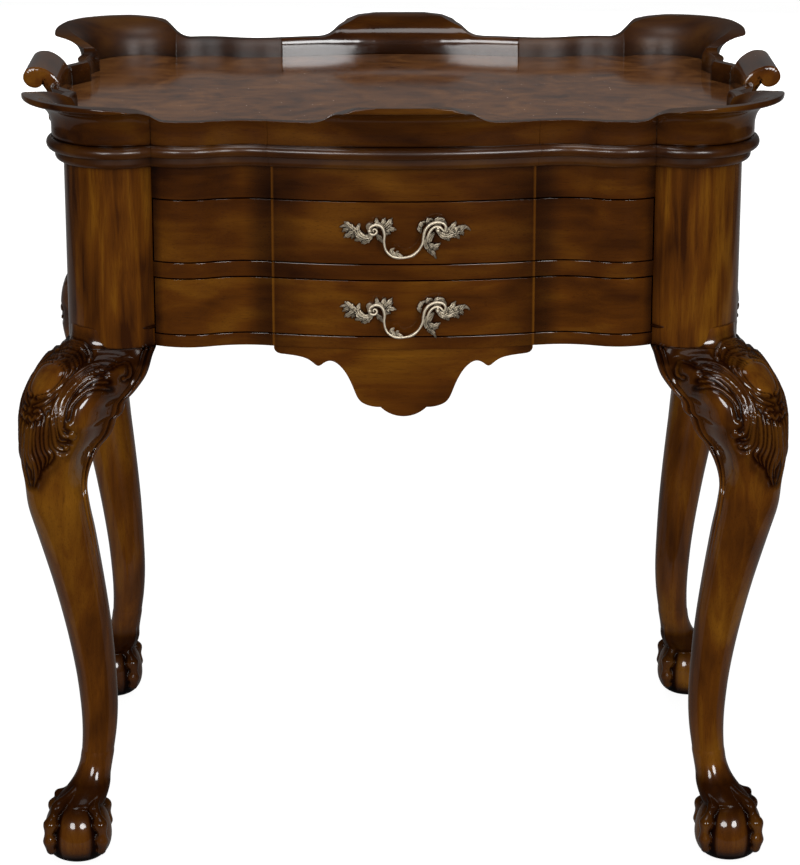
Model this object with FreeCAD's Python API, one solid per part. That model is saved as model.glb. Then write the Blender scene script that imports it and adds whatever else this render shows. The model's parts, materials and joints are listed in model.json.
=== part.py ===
import FreeCAD, Part
import math
import os

# Tray top tea table with two shaped drawers, corner pillars and cabriole legs on
# claw and ball feet. Millimetres, +Z up, front faces -Y, +X to the right when seen
# from the front. The origin is the middle of the table's footprint on the floor.

os.makedirs("parts", exist_ok=True)
V = FreeCAD.Vector
UP = V(0, 0, 1)

# ---------------------------------------------------------------- case sizes
CASE_WIDTH = 644.0          # over the corner pillars
CASE_DEPTH = 434.0
CASE_BOTTOM = 522.0         # underside of pillars and bottom rail
PILLAR_R = 51.0

# serpentine line of the front, back and ends, measured on the case surface
BUMP_R = 61.0               # swelling beside each pillar
BUMP_IN = 66.0              # pillar centre to swelling centre, along the face
BUMP_BACK = 4.0             # swelling lies this far behind the pillar front
HOLLOW_IN = 55.0            # swelling centre to hollow centre, along the face
HOLLOW_DEEP = 10.0          # hollow lies this far behind the swelling
ARRIS_IN = 26.0             # hollow centre to the upright arris of the bow
BOW_PROUD = 4.0             # bow front stands this far ahead of the pillars
BOW_RISE = 14.4             # bow height over its chord
VEE_IN = 80.0               # middle of an end to the vee notch
VEE_DEEP = 11.0             # vee bottom lies this far inside the pillar side
BAY_HALF = 52.0             # half length of the bay that carries a handle
BAY_PROUD = 9.0             # bay corner stands this far outside the pillar side
BAY_RISE = 3.0

# ---------------------------------------------------------------- top and tray
TOP_BOARD_T = 20.4
TRAY_FLOOR_T = 5.6
BAND_T = 10.4               # lower flat moulding, height
BAND_PROUD = 8.0
BEAD_PROUD = 16.0
BEAD_LIP = 2.1              # the bead laps this far up the gallery
GALLERY_IN = 2.0            # gallery inner face, outside the case line
GALLERY_T = 9.0
RIM_H = 25.0                # low rim over the top board
LOBE_H = 44.6               # lobe crest over the top board
LOBE_FLARE = 27.0           # lip beyond the gallery face
LIP_T = 6.5
CENTRE_LOBE_HALF = 84.0
LOBE_RUN = 40.0             # length of the slope at a lobe's end
CORNER_LOBE_IN = 4.0        # slope of a corner lobe starts this far from the notch
JOINT_GAP = 0.2             # hairline between two mitred lengths

# scroll handles, rolled outward over the middle of each end
HANDLE_HALF = 51.0
HANDLE_ROLL_R = 10.5
HANDLE_ROLL_OUT = 16.5      # roll centre beyond the bay's outer face
HANDLE_ROLL_UP = 34.0       # roll centre over the top board
HANDLE_NECK_T = 8.0

# ---------------------------------------------------------------- rails, panels
# heights of the rails and of the drawer openings, from the bottom up
BOTTOM_RAIL_H = 12.0
LOWER_OPENING_H = 55.8
DIVIDER_H = 14.6
UPPER_OPENING_H = 61.6
TOP_RAIL_H = 31.0
RAIL_BACK = 60.0            # inner edge of a rail behind the pillar front
TENON_L = 16.0
TENON_INSET = 3.0
PANEL_BACK = 30.0           # inner face of back and end panels, inside the pillar face
DUST_T = 6.0
APRON_T = 16.0
APRON_SET = 1.0             # apron face behind the bottom rail
SCREW_R = 2.2
SCREW_HEAD_R = 4.5
SCREW_L = 45.0
SCREW_HEAD_T = 3.0
SCREW_POCKET_H = 90.0       # drilled way below a screw in the back panel
BOLT_R = 4.0
BOLT_L = 90.0
GLUE_BLOCK = 24.0

# ---------------------------------------------------------------- drawers
DRAWER_GAP = 1.2
FRONT_BACK = 31.0           # inner face of a drawer front behind the pillar front
SIDE_T = 12.0
DRAWER_BACK_T = 10.0
DRAWER_BOTTOM_T = 5.0
DRAWER_BOTTOM_UP = 8.0
DRAWER_BACK_GAP = 43.0      # drawer back to the back panel when shut
DRAWER_HEADROOM = 11.0
BOX_IN = 4.0                # drawer side inside the pillar face
RUNNER_W = 20.0             # runner reach under a drawer side
GUIDE_H = 22.0
RUN_CLEARANCE = 0.4

# ---------------------------------------------------------------- legs
FOOT_OUT = 1.7              # foot centre outside the pillar side, both ways
BALL_R = 33.0
BALL_FLAT = 1.2             # ball is flattened this much where it stands
TALON_R = 6.5
TALON_NAIL_R = 3.0
KNUCKLE_SWELL = 1.15        # knuckle radius over the claw's own
# (height as a share of the leg, outer edge, inner edge) from the foot centre line
LEG_STATIONS = [
    (1.000, 0.0, -76.0),
    (0.974, 20.0, -70.0),
    (0.945, 32.0, -63.0),
    (0.915, 40.0, -55.0),
    (0.882, 43.6, -48.0),
    (0.850, 44.2, -39.0),
    (0.812, 43.6, -28.0),
    (0.762, 39.2, -20.0),
    (0.710, 36.8, -21.8),
    (0.650, 29.6, -26.6),
    (0.545, 16.4, -33.2),
    (0.450, 6.3, -38.0),
    (0.365, -0.8, -40.4),
    (0.300, -4.2, -41.2),
    (0.250, -5.4, -39.8),
    (0.205, -4.6, -36.6),
    (0.150, -1.4, -32.0),
    (0.112, 3.0, -30.0),
]
KNEE_SQUARE = 1.10          # how far a knee section fills out towards its corners
BRACKET_T = 26.0
BRACKET_SET = 3.0           # bracket face behind the pillar front
# bracket edge from the notch down the knee: inward of the notch, below the case
BRACKET_EDGE = [
    ((-6.0, 13.5), (-13.0, 32.0)),
    ((-20.5, 44.0), (-30.5, 54.0)),
    ((-34.5, 63.5), (-40.0, 72.0)),
    ((-45.0, 83.0), (-54.0, 95.0)),
]

# ---------------------------------------------------------------- apron outline
# half outline from the outer end: (share of the bow's half width, below the case)
APRON_HALF = [
    (0.996, 2.5),
    (0.972, 6.5),
    (0.919, 7.8),
    (0.806, 9.2),
    (0.706, 14.0),
    (0.653, 18.0),
    (0.609, 14.6),
    (0.556, 12.6),
    (0.500, 16.0),
    (0.435, 26.0),
    (0.383, 40.0),
    (0.331, 52.0),
    (0.242, 56.8),
    (0.177, 57.4),
]
APRON_TIP = 66.5

# ---------------------------------------------------------------- pulls
POST_HALF = 32.0            # pull post from the drawer centre
PULL_LIFT_UPPER = 6.4       # post axis over the middle of the upper drawer front
PULL_LIFT_LOWER = 2.3
POST_R = 5.5
POST_REACH = 15.0           # bail axis ahead of the drawer front
STUD_R = 2.2
STUD_CLEARANCE = 0.3
NUT_R = 5.0
NUT_T = 4.0
ROSE_T = 4.0
BAIL_R = 2.8
BAIL_DROP = 25.5
BAIL_BEND_R = 3.6           # where the rod turns out towards the post
PIN_R = 1.6
PIN_CLEARANCE = 0.05
PIN_GAP = 0.4
# leaf spray outline, outward of the post and up from its axis
ROSE_OUTLINE = [
    (-8.0, 6.0),
    (-3.0, 13.0),
    (4.0, 9.0),
    (11.0, 8.5),
    (18.0, 9.5),
    (30.5, 2.0),
    (24.0, -2.5),
    (19.0, -8.5),
    (11.0, -8.0),
    (5.0, -13.0),
    (0.0, -24.0),
    (-4.0, -10.0),
    (-9.0, -3.0),
]

# ---------------------------------------------------------------- worked-out sizes
HALF_W = CASE_WIDTH / 2.0
HALF_D = CASE_DEPTH / 2.0
PX = HALF_W - PILLAR_R
PY = HALF_D - PILLAR_R
DIVIDER_TOP = CASE_BOTTOM + BOTTOM_RAIL_H + LOWER_OPENING_H + DIVIDER_H
CASE_TOP = DIVIDER_TOP + UPPER_OPENING_H + TOP_RAIL_H
BOW_HALF = PX - BUMP_IN - HOLLOW_IN - ARRIS_IN   # centre of the front to its arris
BOARD_TOP = CASE_TOP + TOP_BOARD_T
FLOOR_TOP = BOARD_TOP + TRAY_FLOOR_T
GALLERY_OUT = GALLERY_IN + GALLERY_T
FOOT_X = HALF_W + FOOT_OUT
FOOT_Y = HALF_D + FOOT_OUT


def export(name, *solids):
    """Write one node's solids to its STEP file."""
    shape = solids[0] if len(solids) == 1 else Part.makeCompound(list(solids))
    shape.exportStep("parts/" + name + ".step")


def box(x0, y0, z0, x1, y1, z1):
    """Box between two opposite corners."""
    low = V(min(x0, x1), min(y0, y1), min(z0, z1))
    return Part.makeBox(abs(x1 - x0), abs(y1 - y0), abs(z1 - z0), low)


def mirrored(shape, flip_x, flip_y):
    """The shape reflected in the planes that the two flags name."""
    if flip_x:
        shape = shape.mirror(V(0, 0, 0), V(1, 0, 0))
    if flip_y:
        shape = shape.mirror(V(0, 0, 0), V(0, 1, 0))
    return shape


def fused(shapes):
    """One solid from touching shapes, with its seams removed."""
    whole = shapes[0].multiFuse(shapes[1:]).removeSplitter()
    return whole.Solids[0] if len(whole.Solids) == 1 else whole


# ---------------------------------------------------------------- the plan line
# The front left quarter of the case line, from the middle of the front to the
# middle of the left end. Each stretch is an arc (centre, radius, +1 swelling or
# -1 hollow) or the straight side of the vee notch.
BOW_FRONT = HALF_D + BOW_PROUD
BOW_R = (BOW_HALF ** 2 + BOW_RISE ** 2) / (2 * BOW_RISE)
BUMP_FRONT_C = (-(PX - BUMP_IN), -(HALF_D - BUMP_BACK) + BUMP_R)
BUMP_SIDE_C = (-(HALF_W - BUMP_BACK) + BUMP_R, -(PY - BUMP_IN))
HOLLOW_R = ((HOLLOW_IN ** 2 + (BUMP_R - HOLLOW_DEEP) ** 2 - BUMP_R ** 2)
            / (2.0 * HOLLOW_DEEP))
HOLLOW_C = (BUMP_FRONT_C[0] + HOLLOW_IN,
            -(HALF_D - BUMP_BACK - HOLLOW_DEEP) - HOLLOW_R)
BAY_FRONT = HALF_W + BAY_PROUD + BAY_RISE
BAY_R = (BAY_HALF ** 2 + BAY_RISE ** 2) / (2 * BAY_RISE)

STRETCHES = ("bow", "hollow", "front_swell", "pillar", "end_swell", "vee", "bay")
LINE = [
    ("arc", (0.0, -BOW_FRONT + BOW_R), BOW_R, 1),
    ("arc", HOLLOW_C, HOLLOW_R, -1),
    ("arc", BUMP_FRONT_C, BUMP_R, 1),
    ("arc", (-PX, -PY), PILLAR_R, 1),
    ("arc", BUMP_SIDE_C, BUMP_R, 1),
    ("line", (-(HALF_W - VEE_DEEP), -VEE_IN), (-(HALF_W + BAY_PROUD), -BAY_HALF), 0),
    ("arc", (-BAY_FRONT + BAY_R, 0.0), BAY_R, 1),
]
# where neighbouring stretches meet, roughly, on the case line
MEETING = [
    (-BOW_HALF, -(BOW_FRONT - BOW_RISE)),
    (BUMP_FRONT_C[0] + BUMP_R * HOLLOW_IN / (BUMP_R + HOLLOW_R), -(HALF_D - BUMP_BACK)),
    (-(PX - BUMP_IN / 2.0), -(HALF_D - 3 * BUMP_BACK)),
    (-(HALF_W - 3 * BUMP_BACK), -(PY - BUMP_IN / 2.0)),
    (-(HALF_W - VEE_DEEP), -VEE_IN),
    (-(HALF_W + BAY_PROUD), -BAY_HALF),
]


def unit(x, y):
    """The direction of (x, y) with length one."""
    length = math.hypot(x, y)
    return x / length, y / length


def line_normal(stretch):
    """Outward normal of a straight stretch of the front left quarter."""
    along = unit(stretch[2][0] - stretch[1][0], stretch[2][1] - stretch[1][1])
    return -along[1], along[0]


def circle_meets_circle(c0, r0, c1, r1, hint):
    """The crossing of two circles nearest to hint; tangent circles touch."""
    dx = c1[0] - c0[0]
    dy = c1[1] - c0[1]
    gap = math.hypot(dx, dy)
    along = (gap ** 2 + r0 ** 2 - r1 ** 2) / (2 * gap)
    aside = math.sqrt(max(0.0, r0 ** 2 - along ** 2))
    foot = (c0[0] + dx * along / gap, c0[1] + dy * along / gap)
    found = [(foot[0] - s * dy * aside / gap, foot[1] + s * dx * aside / gap)
             for s in (1, -1)]
    return min(found, key=lambda p: math.dist(p, hint))


def line_meets_circle(point, along, centre, radius, hint):
    """The crossing of a line and a circle nearest to hint."""
    rel = (point[0] - centre[0], point[1] - centre[1])
    middle = -(rel[0] * along[0] + rel[1] * along[1])
    reach = radius ** 2 - rel[0] ** 2 - rel[1] ** 2 + middle ** 2
    root = math.sqrt(max(0.0, reach))
    found = [(point[0] + along[0] * t, point[1] + along[1] * t)
             for t in (middle - root, middle + root)]
    return min(found, key=lambda p: math.dist(p, hint))


def meeting(i, offset):
    """Where stretches i and i + 1 meet when the line is moved out by offset."""
    first = LINE[i]
    second = LINE[i + 1]
    if first[0] == "arc" and second[0] == "arc":
        return circle_meets_circle(first[1], first[2] + first[3] * offset,
                                   second[1], second[2] + second[3] * offset,
                                   MEETING[i])
    straight, round_one = (first, second) if first[0] == "line" else (second, first)
    normal = line_normal(straight)
    start = (straight[1][0] + normal[0] * offset, straight[1][1] + normal[1] * offset)
    along = unit(straight[2][0] - straight[1][0], straight[2][1] - straight[1][1])
    return line_meets_circle(start, along, round_one[1],
                             round_one[2] + round_one[3] * offset, MEETING[i])


def quarter(offset):
    """Corner points of the front left quarter, from the front round to the end."""
    points = [(0.0, -BOW_FRONT - offset)]
    points += [meeting(i, offset) for i in range(len(LINE) - 1)]
    points.append((-BAY_FRONT - offset, 0.0))
    return points


def stretch_edge(i, start, end, offset):
    """The edge of stretch i between two corner points."""
    a = V(start[0], start[1], 0)
    b = V(end[0], end[1], 0)
    kind, centre, radius, sense = LINE[i]
    if kind == "line":
        return Part.LineSegment(a, b).toShape()
    mid = unit((start[0] + end[0]) / 2 - centre[0], (start[1] + end[1]) / 2 - centre[1])
    reach = radius + sense * offset
    through = V(centre[0] + mid[0] * reach, centre[1] + mid[1] * reach, 0)
    return Part.Arc(a, through, b).toShape()


def plan_face(offset):
    """The whole plan of the table, moved out by offset."""
    points = quarter(offset)
    edges = [stretch_edge(i, points[i], points[i + 1], offset)
             for i in range(len(LINE))]
    half = edges + [mirrored(e, False, True) for e in edges]
    whole = half + [mirrored(e, True, False) for e in half]
    return Part.Face(Part.Wire(Part.__sortEdges__(whole)))


def slab(offset, z0, z1):
    """The plan at an offset, between two heights."""
    face = plan_face(offset)
    face.translate(V(0, 0, z0))
    return face.extrude(V(0, 0, z1 - z0))


def profile_face(points):
    """A face in the XZ plane from corner points; a triple is an arc's middle."""
    edges = []
    last = points[0]
    middle = None
    for point in points[1:] + [points[0]]:
        if len(point) == 3:
            middle = point
            continue
        a = V(last[0], 0, last[1])
        b = V(point[0], 0, point[1])
        if middle:
            edges.append(Part.Arc(a, V(middle[0], 0, middle[1]), b).toShape())
        elif a.distanceToPoint(b) > 1e-6:
            edges.append(Part.LineSegment(a, b).toShape())
        middle = None
        last = point
    return Part.Face(Part.Wire(edges))


# stretches that end in a mitred joint, going from the front round to the end
MITRED = ("bow", "front_swell", "pillar", "end_swell", "vee")


def wedge(i):
    """A tall prism that keeps what lies between the mitres of stretch i."""
    reach = 70.0
    inner = quarter(0.0)
    outer = quarter(GALLERY_OUT)
    run = unit(inner[i + 1][0] - inner[i][0], inner[i + 1][1] - inner[i][1])

    def trimmed(k, sense):
        mitred = 0 < k < len(LINE) and STRETCHES[k - 1] in MITRED
        back = sense * JOINT_GAP / 2.0 if mitred else 0.0
        return (inner[k][0] + run[0] * back, inner[k][1] + run[1] * back)

    def mitre(k):
        if k == 0:
            return (0.0, -1.0)
        if k == len(LINE):
            return (-1.0, 0.0)
        return unit(outer[k][0] - inner[k][0], outer[k][1] - inner[k][1])

    first = mitre(i)
    second = mitre(i + 1)
    a = trimmed(i, 1)
    b = trimmed(i + 1, -1)
    out = unit(first[0] + second[0], first[1] + second[1])
    corners = [
        V(a[0] - first[0] * 30, a[1] - first[1] * 30, 0),
        V(a[0] + first[0] * reach, a[1] + first[1] * reach, 0),
        V((a[0] + b[0]) / 2 + out[0] * 3 * reach, (a[1] + b[1]) / 2 + out[1] * 3 * reach, 0),
        V(b[0] + second[0] * reach, b[1] + second[1] * reach, 0),
        V(b[0] - second[0] * 30, b[1] - second[1] * 30, 0),
    ]
    face = Part.Face(Part.makePolygon(corners + [corners[0]]))
    face.translate(V(0, 0, CASE_BOTTOM))
    return face.extrude(V(0, 0, BOARD_TOP + 2 * LOBE_H - CASE_BOTTOM))


def moulded(stretch, points):
    """A moulding along a stretch with the section given as (offset, height)."""
    i = STRETCHES.index(stretch)
    kind, centre, radius, sense = LINE[i]
    ends = quarter(0.0)
    face = profile_face(points)
    if kind == "line":
        normal = line_normal(LINE[i])
        along = unit(radius[0] - centre[0], radius[1] - centre[1])
        extra = 60.0
        turn = math.degrees(math.atan2(normal[1], normal[0]))
        face.rotate(V(0, 0, 0), UP, turn)
        face.translate(V(centre[0] - along[0] * extra, centre[1] - along[1] * extra, 0))
        run = math.dist(centre, radius) + 2 * extra
        solid = face.extrude(V(along[0] * run, along[1] * run, 0))
        return solid.common(wedge(i))
    moved = [(radius + sense * p[0],) + tuple(p[1:]) for p in points]
    face = profile_face(moved)
    face.translate(V(centre[0], centre[1], 0))
    angles = [math.degrees(math.atan2(p[1] - centre[1], p[0] - centre[0]))
              for p in (ends[i], ends[i + 1])]
    sweep = (angles[1] - angles[0] + 180.0) % 360.0 - 180.0
    extra = math.copysign(min(25.0, 2600.0 / radius), sweep)
    face.rotate(V(centre[0], centre[1], 0), UP, angles[0] - extra)
    solid = face.revolve(V(centre[0], centre[1], 0), UP, sweep + 2 * extra)
    return solid.common(wedge(i))


# ---------------------------------------------------------------- sections
RIM_ROUND = GALLERY_T / 3.0


def rim_section():
    """The low gallery wall with rounded top edges."""
    top = BOARD_TOP + RIM_H
    a = GALLERY_IN
    b = GALLERY_OUT
    r = RIM_ROUND
    k = r * (1 - math.sqrt(0.5))
    return [(a, BOARD_TOP), (b, BOARD_TOP), (b, top - r), (b - k, top - k, 0),
            (b - r, top), (a + r, top), (a + k, top - k, 0), (a, top - r)]


def lobe_section():
    """The gallery wall where it sweeps out into a raised lip."""
    top = BOARD_TOP + LOBE_H
    spring = BOARD_TOP + RIM_H - 8.0
    a = GALLERY_IN
    b = GALLERY_OUT
    lip = b + LOBE_FLARE
    r = LIP_T / 2.0
    under = top - LIP_T
    return [(a, BOARD_TOP), (b, BOARD_TOP), (b, spring),
            (b + LOBE_FLARE * 0.22, spring + (under - spring) * 0.72, 0),
            (lip - r, under), (lip, top - r, 0), (lip - r, top),
            (a + LOBE_FLARE * 0.52, top - 2.2, 0), (a, spring + 2.0)]


def bead_section():
    """Half-round nosing under the gallery."""
    low = CASE_TOP + BAND_T
    nose = (low + BOARD_TOP + BEAD_LIP) / 2.0
    return [(0.0, low), (BAND_PROUD + 1.0, low), (BEAD_PROUD, nose, 0),
            (GALLERY_OUT, BOARD_TOP + BEAD_LIP), (GALLERY_OUT, BOARD_TOP),
            (0.0, BOARD_TOP)]


def band_section():
    """Flat band with a rounded lower edge."""
    top = CASE_TOP + BAND_T
    r = BAND_T / 2.0
    k = r * (1 - math.sqrt(0.5))
    return [(0.0, CASE_TOP), (BAND_PROUD - r, CASE_TOP),
            (BAND_PROUD - k, CASE_TOP + k, 0), (BAND_PROUD, CASE_TOP + r),
            (BAND_PROUD, top), (0.0, top)]


def front_lengths(section):
    """Mitred lengths along the front: the bow and a flank each side of it."""
    bow = moulded("bow", section)
    flank = fused([moulded(name, section) for name in ("hollow", "front_swell")])
    return [fused([bow, mirrored(bow, True, False)]), flank, mirrored(flank, True, False)]


def end_lengths(section):
    """Mitred lengths along the left end: the bay, then those beside it."""
    bay = moulded("bay", section)
    beside = [moulded(name, section) for name in ("end_swell", "vee")]
    return [fused([bay, mirrored(bay, False, True)])] + beside + [
        mirrored(s, False, True) for s in beside]


def slope_cut(point, along, rise_from, rise_to, run):
    """Prism over a lobe's end: it slopes up along a direction from point."""
    across = (-along[1], along[0])
    wide = 90.0
    low = rise_from
    high = rise_to + 30.0
    side = [(-60.0, low), (0.0, low), (run * 0.45, (rise_from + rise_to) / 2 + 3.0),
            (run, rise_to), (run, high), (-60.0, high)]
    corners = [V(point[0] + along[0] * s - across[0] * wide,
                 point[1] + along[1] * s - across[1] * wide, z) for s, z in side]
    face = Part.Face(Part.makePolygon(corners + [corners[0]]))
    return face.extrude(V(across[0] * 2 * wide, across[1] * 2 * wide, 0))


def build_mouldings():
    """Bead and band round the top board, in mitred lengths."""
    for name, section in (("bead", bead_section()), ("band", band_section())):
        front = front_lengths(section)
        end = end_lengths(section)
        corner = moulded("pillar", section)
        export(name + "_front", *front)
        export(name + "_back", *[mirrored(s, False, True) for s in front])
        export(name + "_sides", *end, *[mirrored(s, True, False) for s in end])
        export(name + "_corners", *[mirrored(corner, fx, fy)
                                    for fx in (False, True) for fy in (False, True)])


def handle_profile():
    """Section of a scroll handle, offset outward from the case line."""
    wall_out = GALLERY_OUT
    wall_in = GALLERY_IN
    roll = (wall_out + HANDLE_ROLL_OUT, BOARD_TOP + HANDLE_ROLL_UP)
    r = HANDLE_ROLL_R
    foot = BOARD_TOP + RIM_H - 8.0
    inner = (roll[0] - r * 0.88, roll[1] + r * 0.30)
    crown = (roll[0] - r * 0.30, roll[1] + r * 0.95)
    return [(wall_in, foot), (wall_out, foot),
            (wall_out + 0.6, foot + 10.0, 0), (inner[0] - 1.2, inner[1] + 1.2),
            inner, (roll[0], roll[1] - r, 0), (roll[0] + r, roll[1]),
            (roll[0] + r * 0.62, roll[1] + r * 0.78, 0), crown,
            (wall_in + HANDLE_NECK_T, roll[1] + 3.6, 0), (wall_in, foot + 8.0)]


def build_gallery():
    """The wall round the tray: low rims, raised lobes and scroll handles."""
    rim = rim_section()
    lobe = lobe_section()
    crest = BOARD_TOP + LOBE_H
    shoulder = BOARD_TOP + RIM_H

    front = front_lengths(rim)
    swept = moulded("bow", lobe)
    swept = swept.cut(slope_cut((-CENTRE_LOBE_HALF, -BOW_FRONT), (1.0, 0.0),
                                shoulder - 9.0, crest, LOBE_RUN))
    front[0] = fused([front[0], swept, mirrored(swept, True, False)])
    export("gallery_front", *front)
    export("gallery_back", *[mirrored(s, False, True) for s in front])

    ends = quarter(GALLERY_OUT)
    low = moulded("pillar", rim)
    high = moulded("pillar", lobe)
    for start, toward in ((ends[3], (-1.0, 0.0)), (ends[4], (0.0, -1.0))):
        begin = (start[0] + toward[0] * CORNER_LOBE_IN,
                 start[1] + toward[1] * CORNER_LOBE_IN)
        high = high.cut(slope_cut(begin, toward, shoulder - 9.0, crest, LOBE_RUN * 0.6))
    corner = fused([low, high])
    for side_name, flip_x in (("left", False), ("right", True)):
        for end_name, flip_y in (("front", False), ("back", True)):
            export("gallery_corner_" + end_name + "_" + side_name,
                   mirrored(corner, flip_x, flip_y))

    end = end_lengths(rim)
    scroll_face = profile_face([(-BAY_FRONT - p[0],) + tuple(p[1:])
                                for p in handle_profile()])
    scroll_face.translate(V(0, -HANDLE_HALF, 0))
    scroll = scroll_face.extrude(V(0, 2 * HANDLE_HALF, 0))
    end[0] = fused([end[0], scroll])
    export("gallery_left", *end)
    export("gallery_right", *[mirrored(s, True, False) for s in end])


def build_top():
    """Top board and the veneered tray floor on it."""
    board = slab(0.0, CASE_TOP, BOARD_TOP)
    for centre in screw_places():
        hole = Part.makeCylinder(SCREW_R, SCREW_L, V(centre[0], centre[1], screw_low()))
        board = board.cut(hole)
    export("top_board", board)
    export("tray_floor", slab(GALLERY_IN, BOARD_TOP, FLOOR_TOP))


# ---------------------------------------------------------------- case
NOTCH_FRONT = quarter(0.0)[3]
NOTCH_SIDE = quarter(0.0)[4]
OPENING_HALF = -NOTCH_FRONT[0]
END_HALF = -NOTCH_SIDE[1]
RAIL_INNER = -(HALF_D - RAIL_BACK)
PANEL_X = HALF_W - PANEL_BACK
PANEL_Y = HALF_D - PANEL_BACK
BOLT_XY = (PX + PILLAR_R * 0.1, PY + PILLAR_R * 0.1)


def screw_low():
    """Lower end of the screws that hold the top board."""
    return BOARD_TOP - TRAY_FLOOR_T / 2.0 - SCREW_L


def screw_places():
    """Plan places of the screws, through the top rail and the back panel."""
    y_front = (RAIL_INNER - HALF_D) / 2.0
    y_back = PANEL_Y + SCREW_HEAD_R + 2.0
    along = OPENING_HALF - 40.0
    return [(sx * along, y) for sx in (-1, 1) for y in (y_front, y_back)]


def tenon(z0, z1, side, y0, y1):
    """Tenon box at one end of a rail, reaching into a pillar."""
    x0 = side * OPENING_HALF
    return box(x0, y0, z0, x0 + side * TENON_L, y1, z1)


RAILS = {
    "top_rail": (CASE_TOP - TOP_RAIL_H, CASE_TOP),
    "drawer_divider": (DIVIDER_TOP - DIVIDER_H, DIVIDER_TOP),
    "bottom_rail": (CASE_BOTTOM, CASE_BOTTOM + BOTTOM_RAIL_H),
}


def rail_tenons():
    """All tenon boxes, for the rails and for their mortises in the pillars."""
    y0 = -HALF_D + PILLAR_R * 0.55
    y1 = RAIL_INNER - TENON_INSET
    return [(name, side, tenon(low + TENON_INSET, high - TENON_INSET, side, y0, y1))
            for name, (low, high) in RAILS.items() for side in (-1, 1)]


def bolt_holes():
    """Round holes for the bolts that hold the legs to the pillars."""
    low = CASE_BOTTOM - BOLT_L / 2.0
    return [Part.makeCylinder(BOLT_R, BOLT_L, V(sx * BOLT_XY[0], sy * BOLT_XY[1], low))
            for sx in (-1, 1) for sy in (-1, 1)]


def screw_holes():
    """Shank and head spaces of the top screws."""
    holes = []
    for x, y in screw_places():
        low = screw_low()
        shank = Part.makeCylinder(SCREW_R, SCREW_L, V(x, y, low))
        head = Part.makeCylinder(SCREW_HEAD_R, SCREW_HEAD_T, V(x, y, low - SCREW_HEAD_T))
        holes.append(fused([shank, head]))
    return holes


def pockets(low):
    """Drilled ways to the top screws, up from a height."""
    return [Part.makeCylinder(SCREW_HEAD_R + 1.0, screw_low() - low, V(x, y, low))
            for x, y in screw_places()]


def build_case():
    """Pillars, rails, panels and the loose boards inside the case."""
    column = Part.makeCylinder(PILLAR_R, CASE_TOP - CASE_BOTTOM, V(-PX, -PY, CASE_BOTTOM))
    keep = box(-HALF_W, -HALF_D, CASE_BOTTOM, -OPENING_HALF, -END_HALF, CASE_TOP)
    column = column.common(keep)
    tenons = rail_tenons()
    holes = bolt_holes()
    for side_name, flip_x in (("left", False), ("right", True)):
        for end_name, flip_y in (("front", False), ("back", True)):
            pillar = mirrored(column, flip_x, flip_y)
            cutters = list(holes)
            if end_name == "front":
                cutters += [t for _, _, t in tenons]
            export("pillar_" + end_name + "_" + side_name, pillar.cut(cutters))

    screws = screw_holes()
    for name, (low, high) in RAILS.items():
        depth = box(-OPENING_HALF, -HALF_D - 40.0, low, OPENING_HALF, RAIL_INNER, high)
        rail = slab(0.0, low, high).common(depth)
        rail = fused([rail] + [t for n, _, t in tenons if n == name])
        if name == "top_rail":
            rail = rail.cut(screws + pockets(low - 1.0))
        export(name, rail)

    back_box = box(-OPENING_HALF, PANEL_Y, CASE_BOTTOM, OPENING_HALF, HALF_D + 40.0,
                   CASE_TOP)
    back = slab(0.0, CASE_BOTTOM, CASE_TOP).common(back_box)
    back = back.cut(screws + pockets(screw_low() - SCREW_POCKET_H))
    export("back_panel", back)
    side_box = box(-HALF_W - 40.0, -END_HALF, CASE_BOTTOM, -PANEL_X, END_HALF, CASE_TOP)
    side = slab(0.0, CASE_BOTTOM, CASE_TOP).common(side_box)
    export("side_panel_left", side)
    export("side_panel_right", mirrored(side, True, False))
    export("top_screws", *screws)
    export("leg_bolts", *holes)

    blocks = []
    for sx in (-1, 1):
        for z in (CASE_BOTTOM + BOTTOM_RAIL_H, CASE_TOP - GLUE_BLOCK):
            blocks.append(box(sx * OPENING_HALF, -END_HALF, z,
                              sx * (OPENING_HALF + GLUE_BLOCK),
                              -END_HALF + GLUE_BLOCK, z + GLUE_BLOCK))
    export("glue_blocks", *[b for b in blocks])


def apron_outline():
    """Closed outline of the apron's face in the XZ plane."""
    left = [V(-x * BOW_HALF, 0, CASE_BOTTOM - z) for x, z in APRON_HALF]
    right = [V(-p.x, 0, p.z) for p in reversed(left)]
    tip = V(0, 0, CASE_BOTTOM - APRON_TIP)
    corner_left = V(left[0].x, 0, CASE_BOTTOM)
    corner_right = V(right[-1].x, 0, CASE_BOTTOM)
    edges = [Part.LineSegment(corner_right, corner_left).toShape(),
             Part.LineSegment(corner_left, left[0]).toShape()]
    for row in (left, right):
        if row is right:
            edges.append(Part.Arc(left[-1], tip, right[0]).toShape())
        curve = Part.BSplineCurve()
        curve.interpolate(row)
        edges.append(curve.toShape())
    edges.append(Part.LineSegment(right[-1], corner_right).toShape())
    return Part.Face(Part.Wire(edges))


def build_aprons():
    """Shaped boards under the bowed middle of the front and the back."""
    face = apron_outline()
    face.translate(V(0, -BOW_FRONT, 0))
    board = face.extrude(V(0, BOW_FRONT, 0))
    low = CASE_BOTTOM - APRON_TIP - 1.0
    skin = slab(-APRON_SET, low, CASE_BOTTOM)
    skin = skin.cut(slab(-APRON_SET - APRON_T, low - 1.0, CASE_BOTTOM + 1.0))
    apron = board.common(skin)
    export("front_apron", apron)
    export("back_apron", mirrored(apron, False, True))


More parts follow.
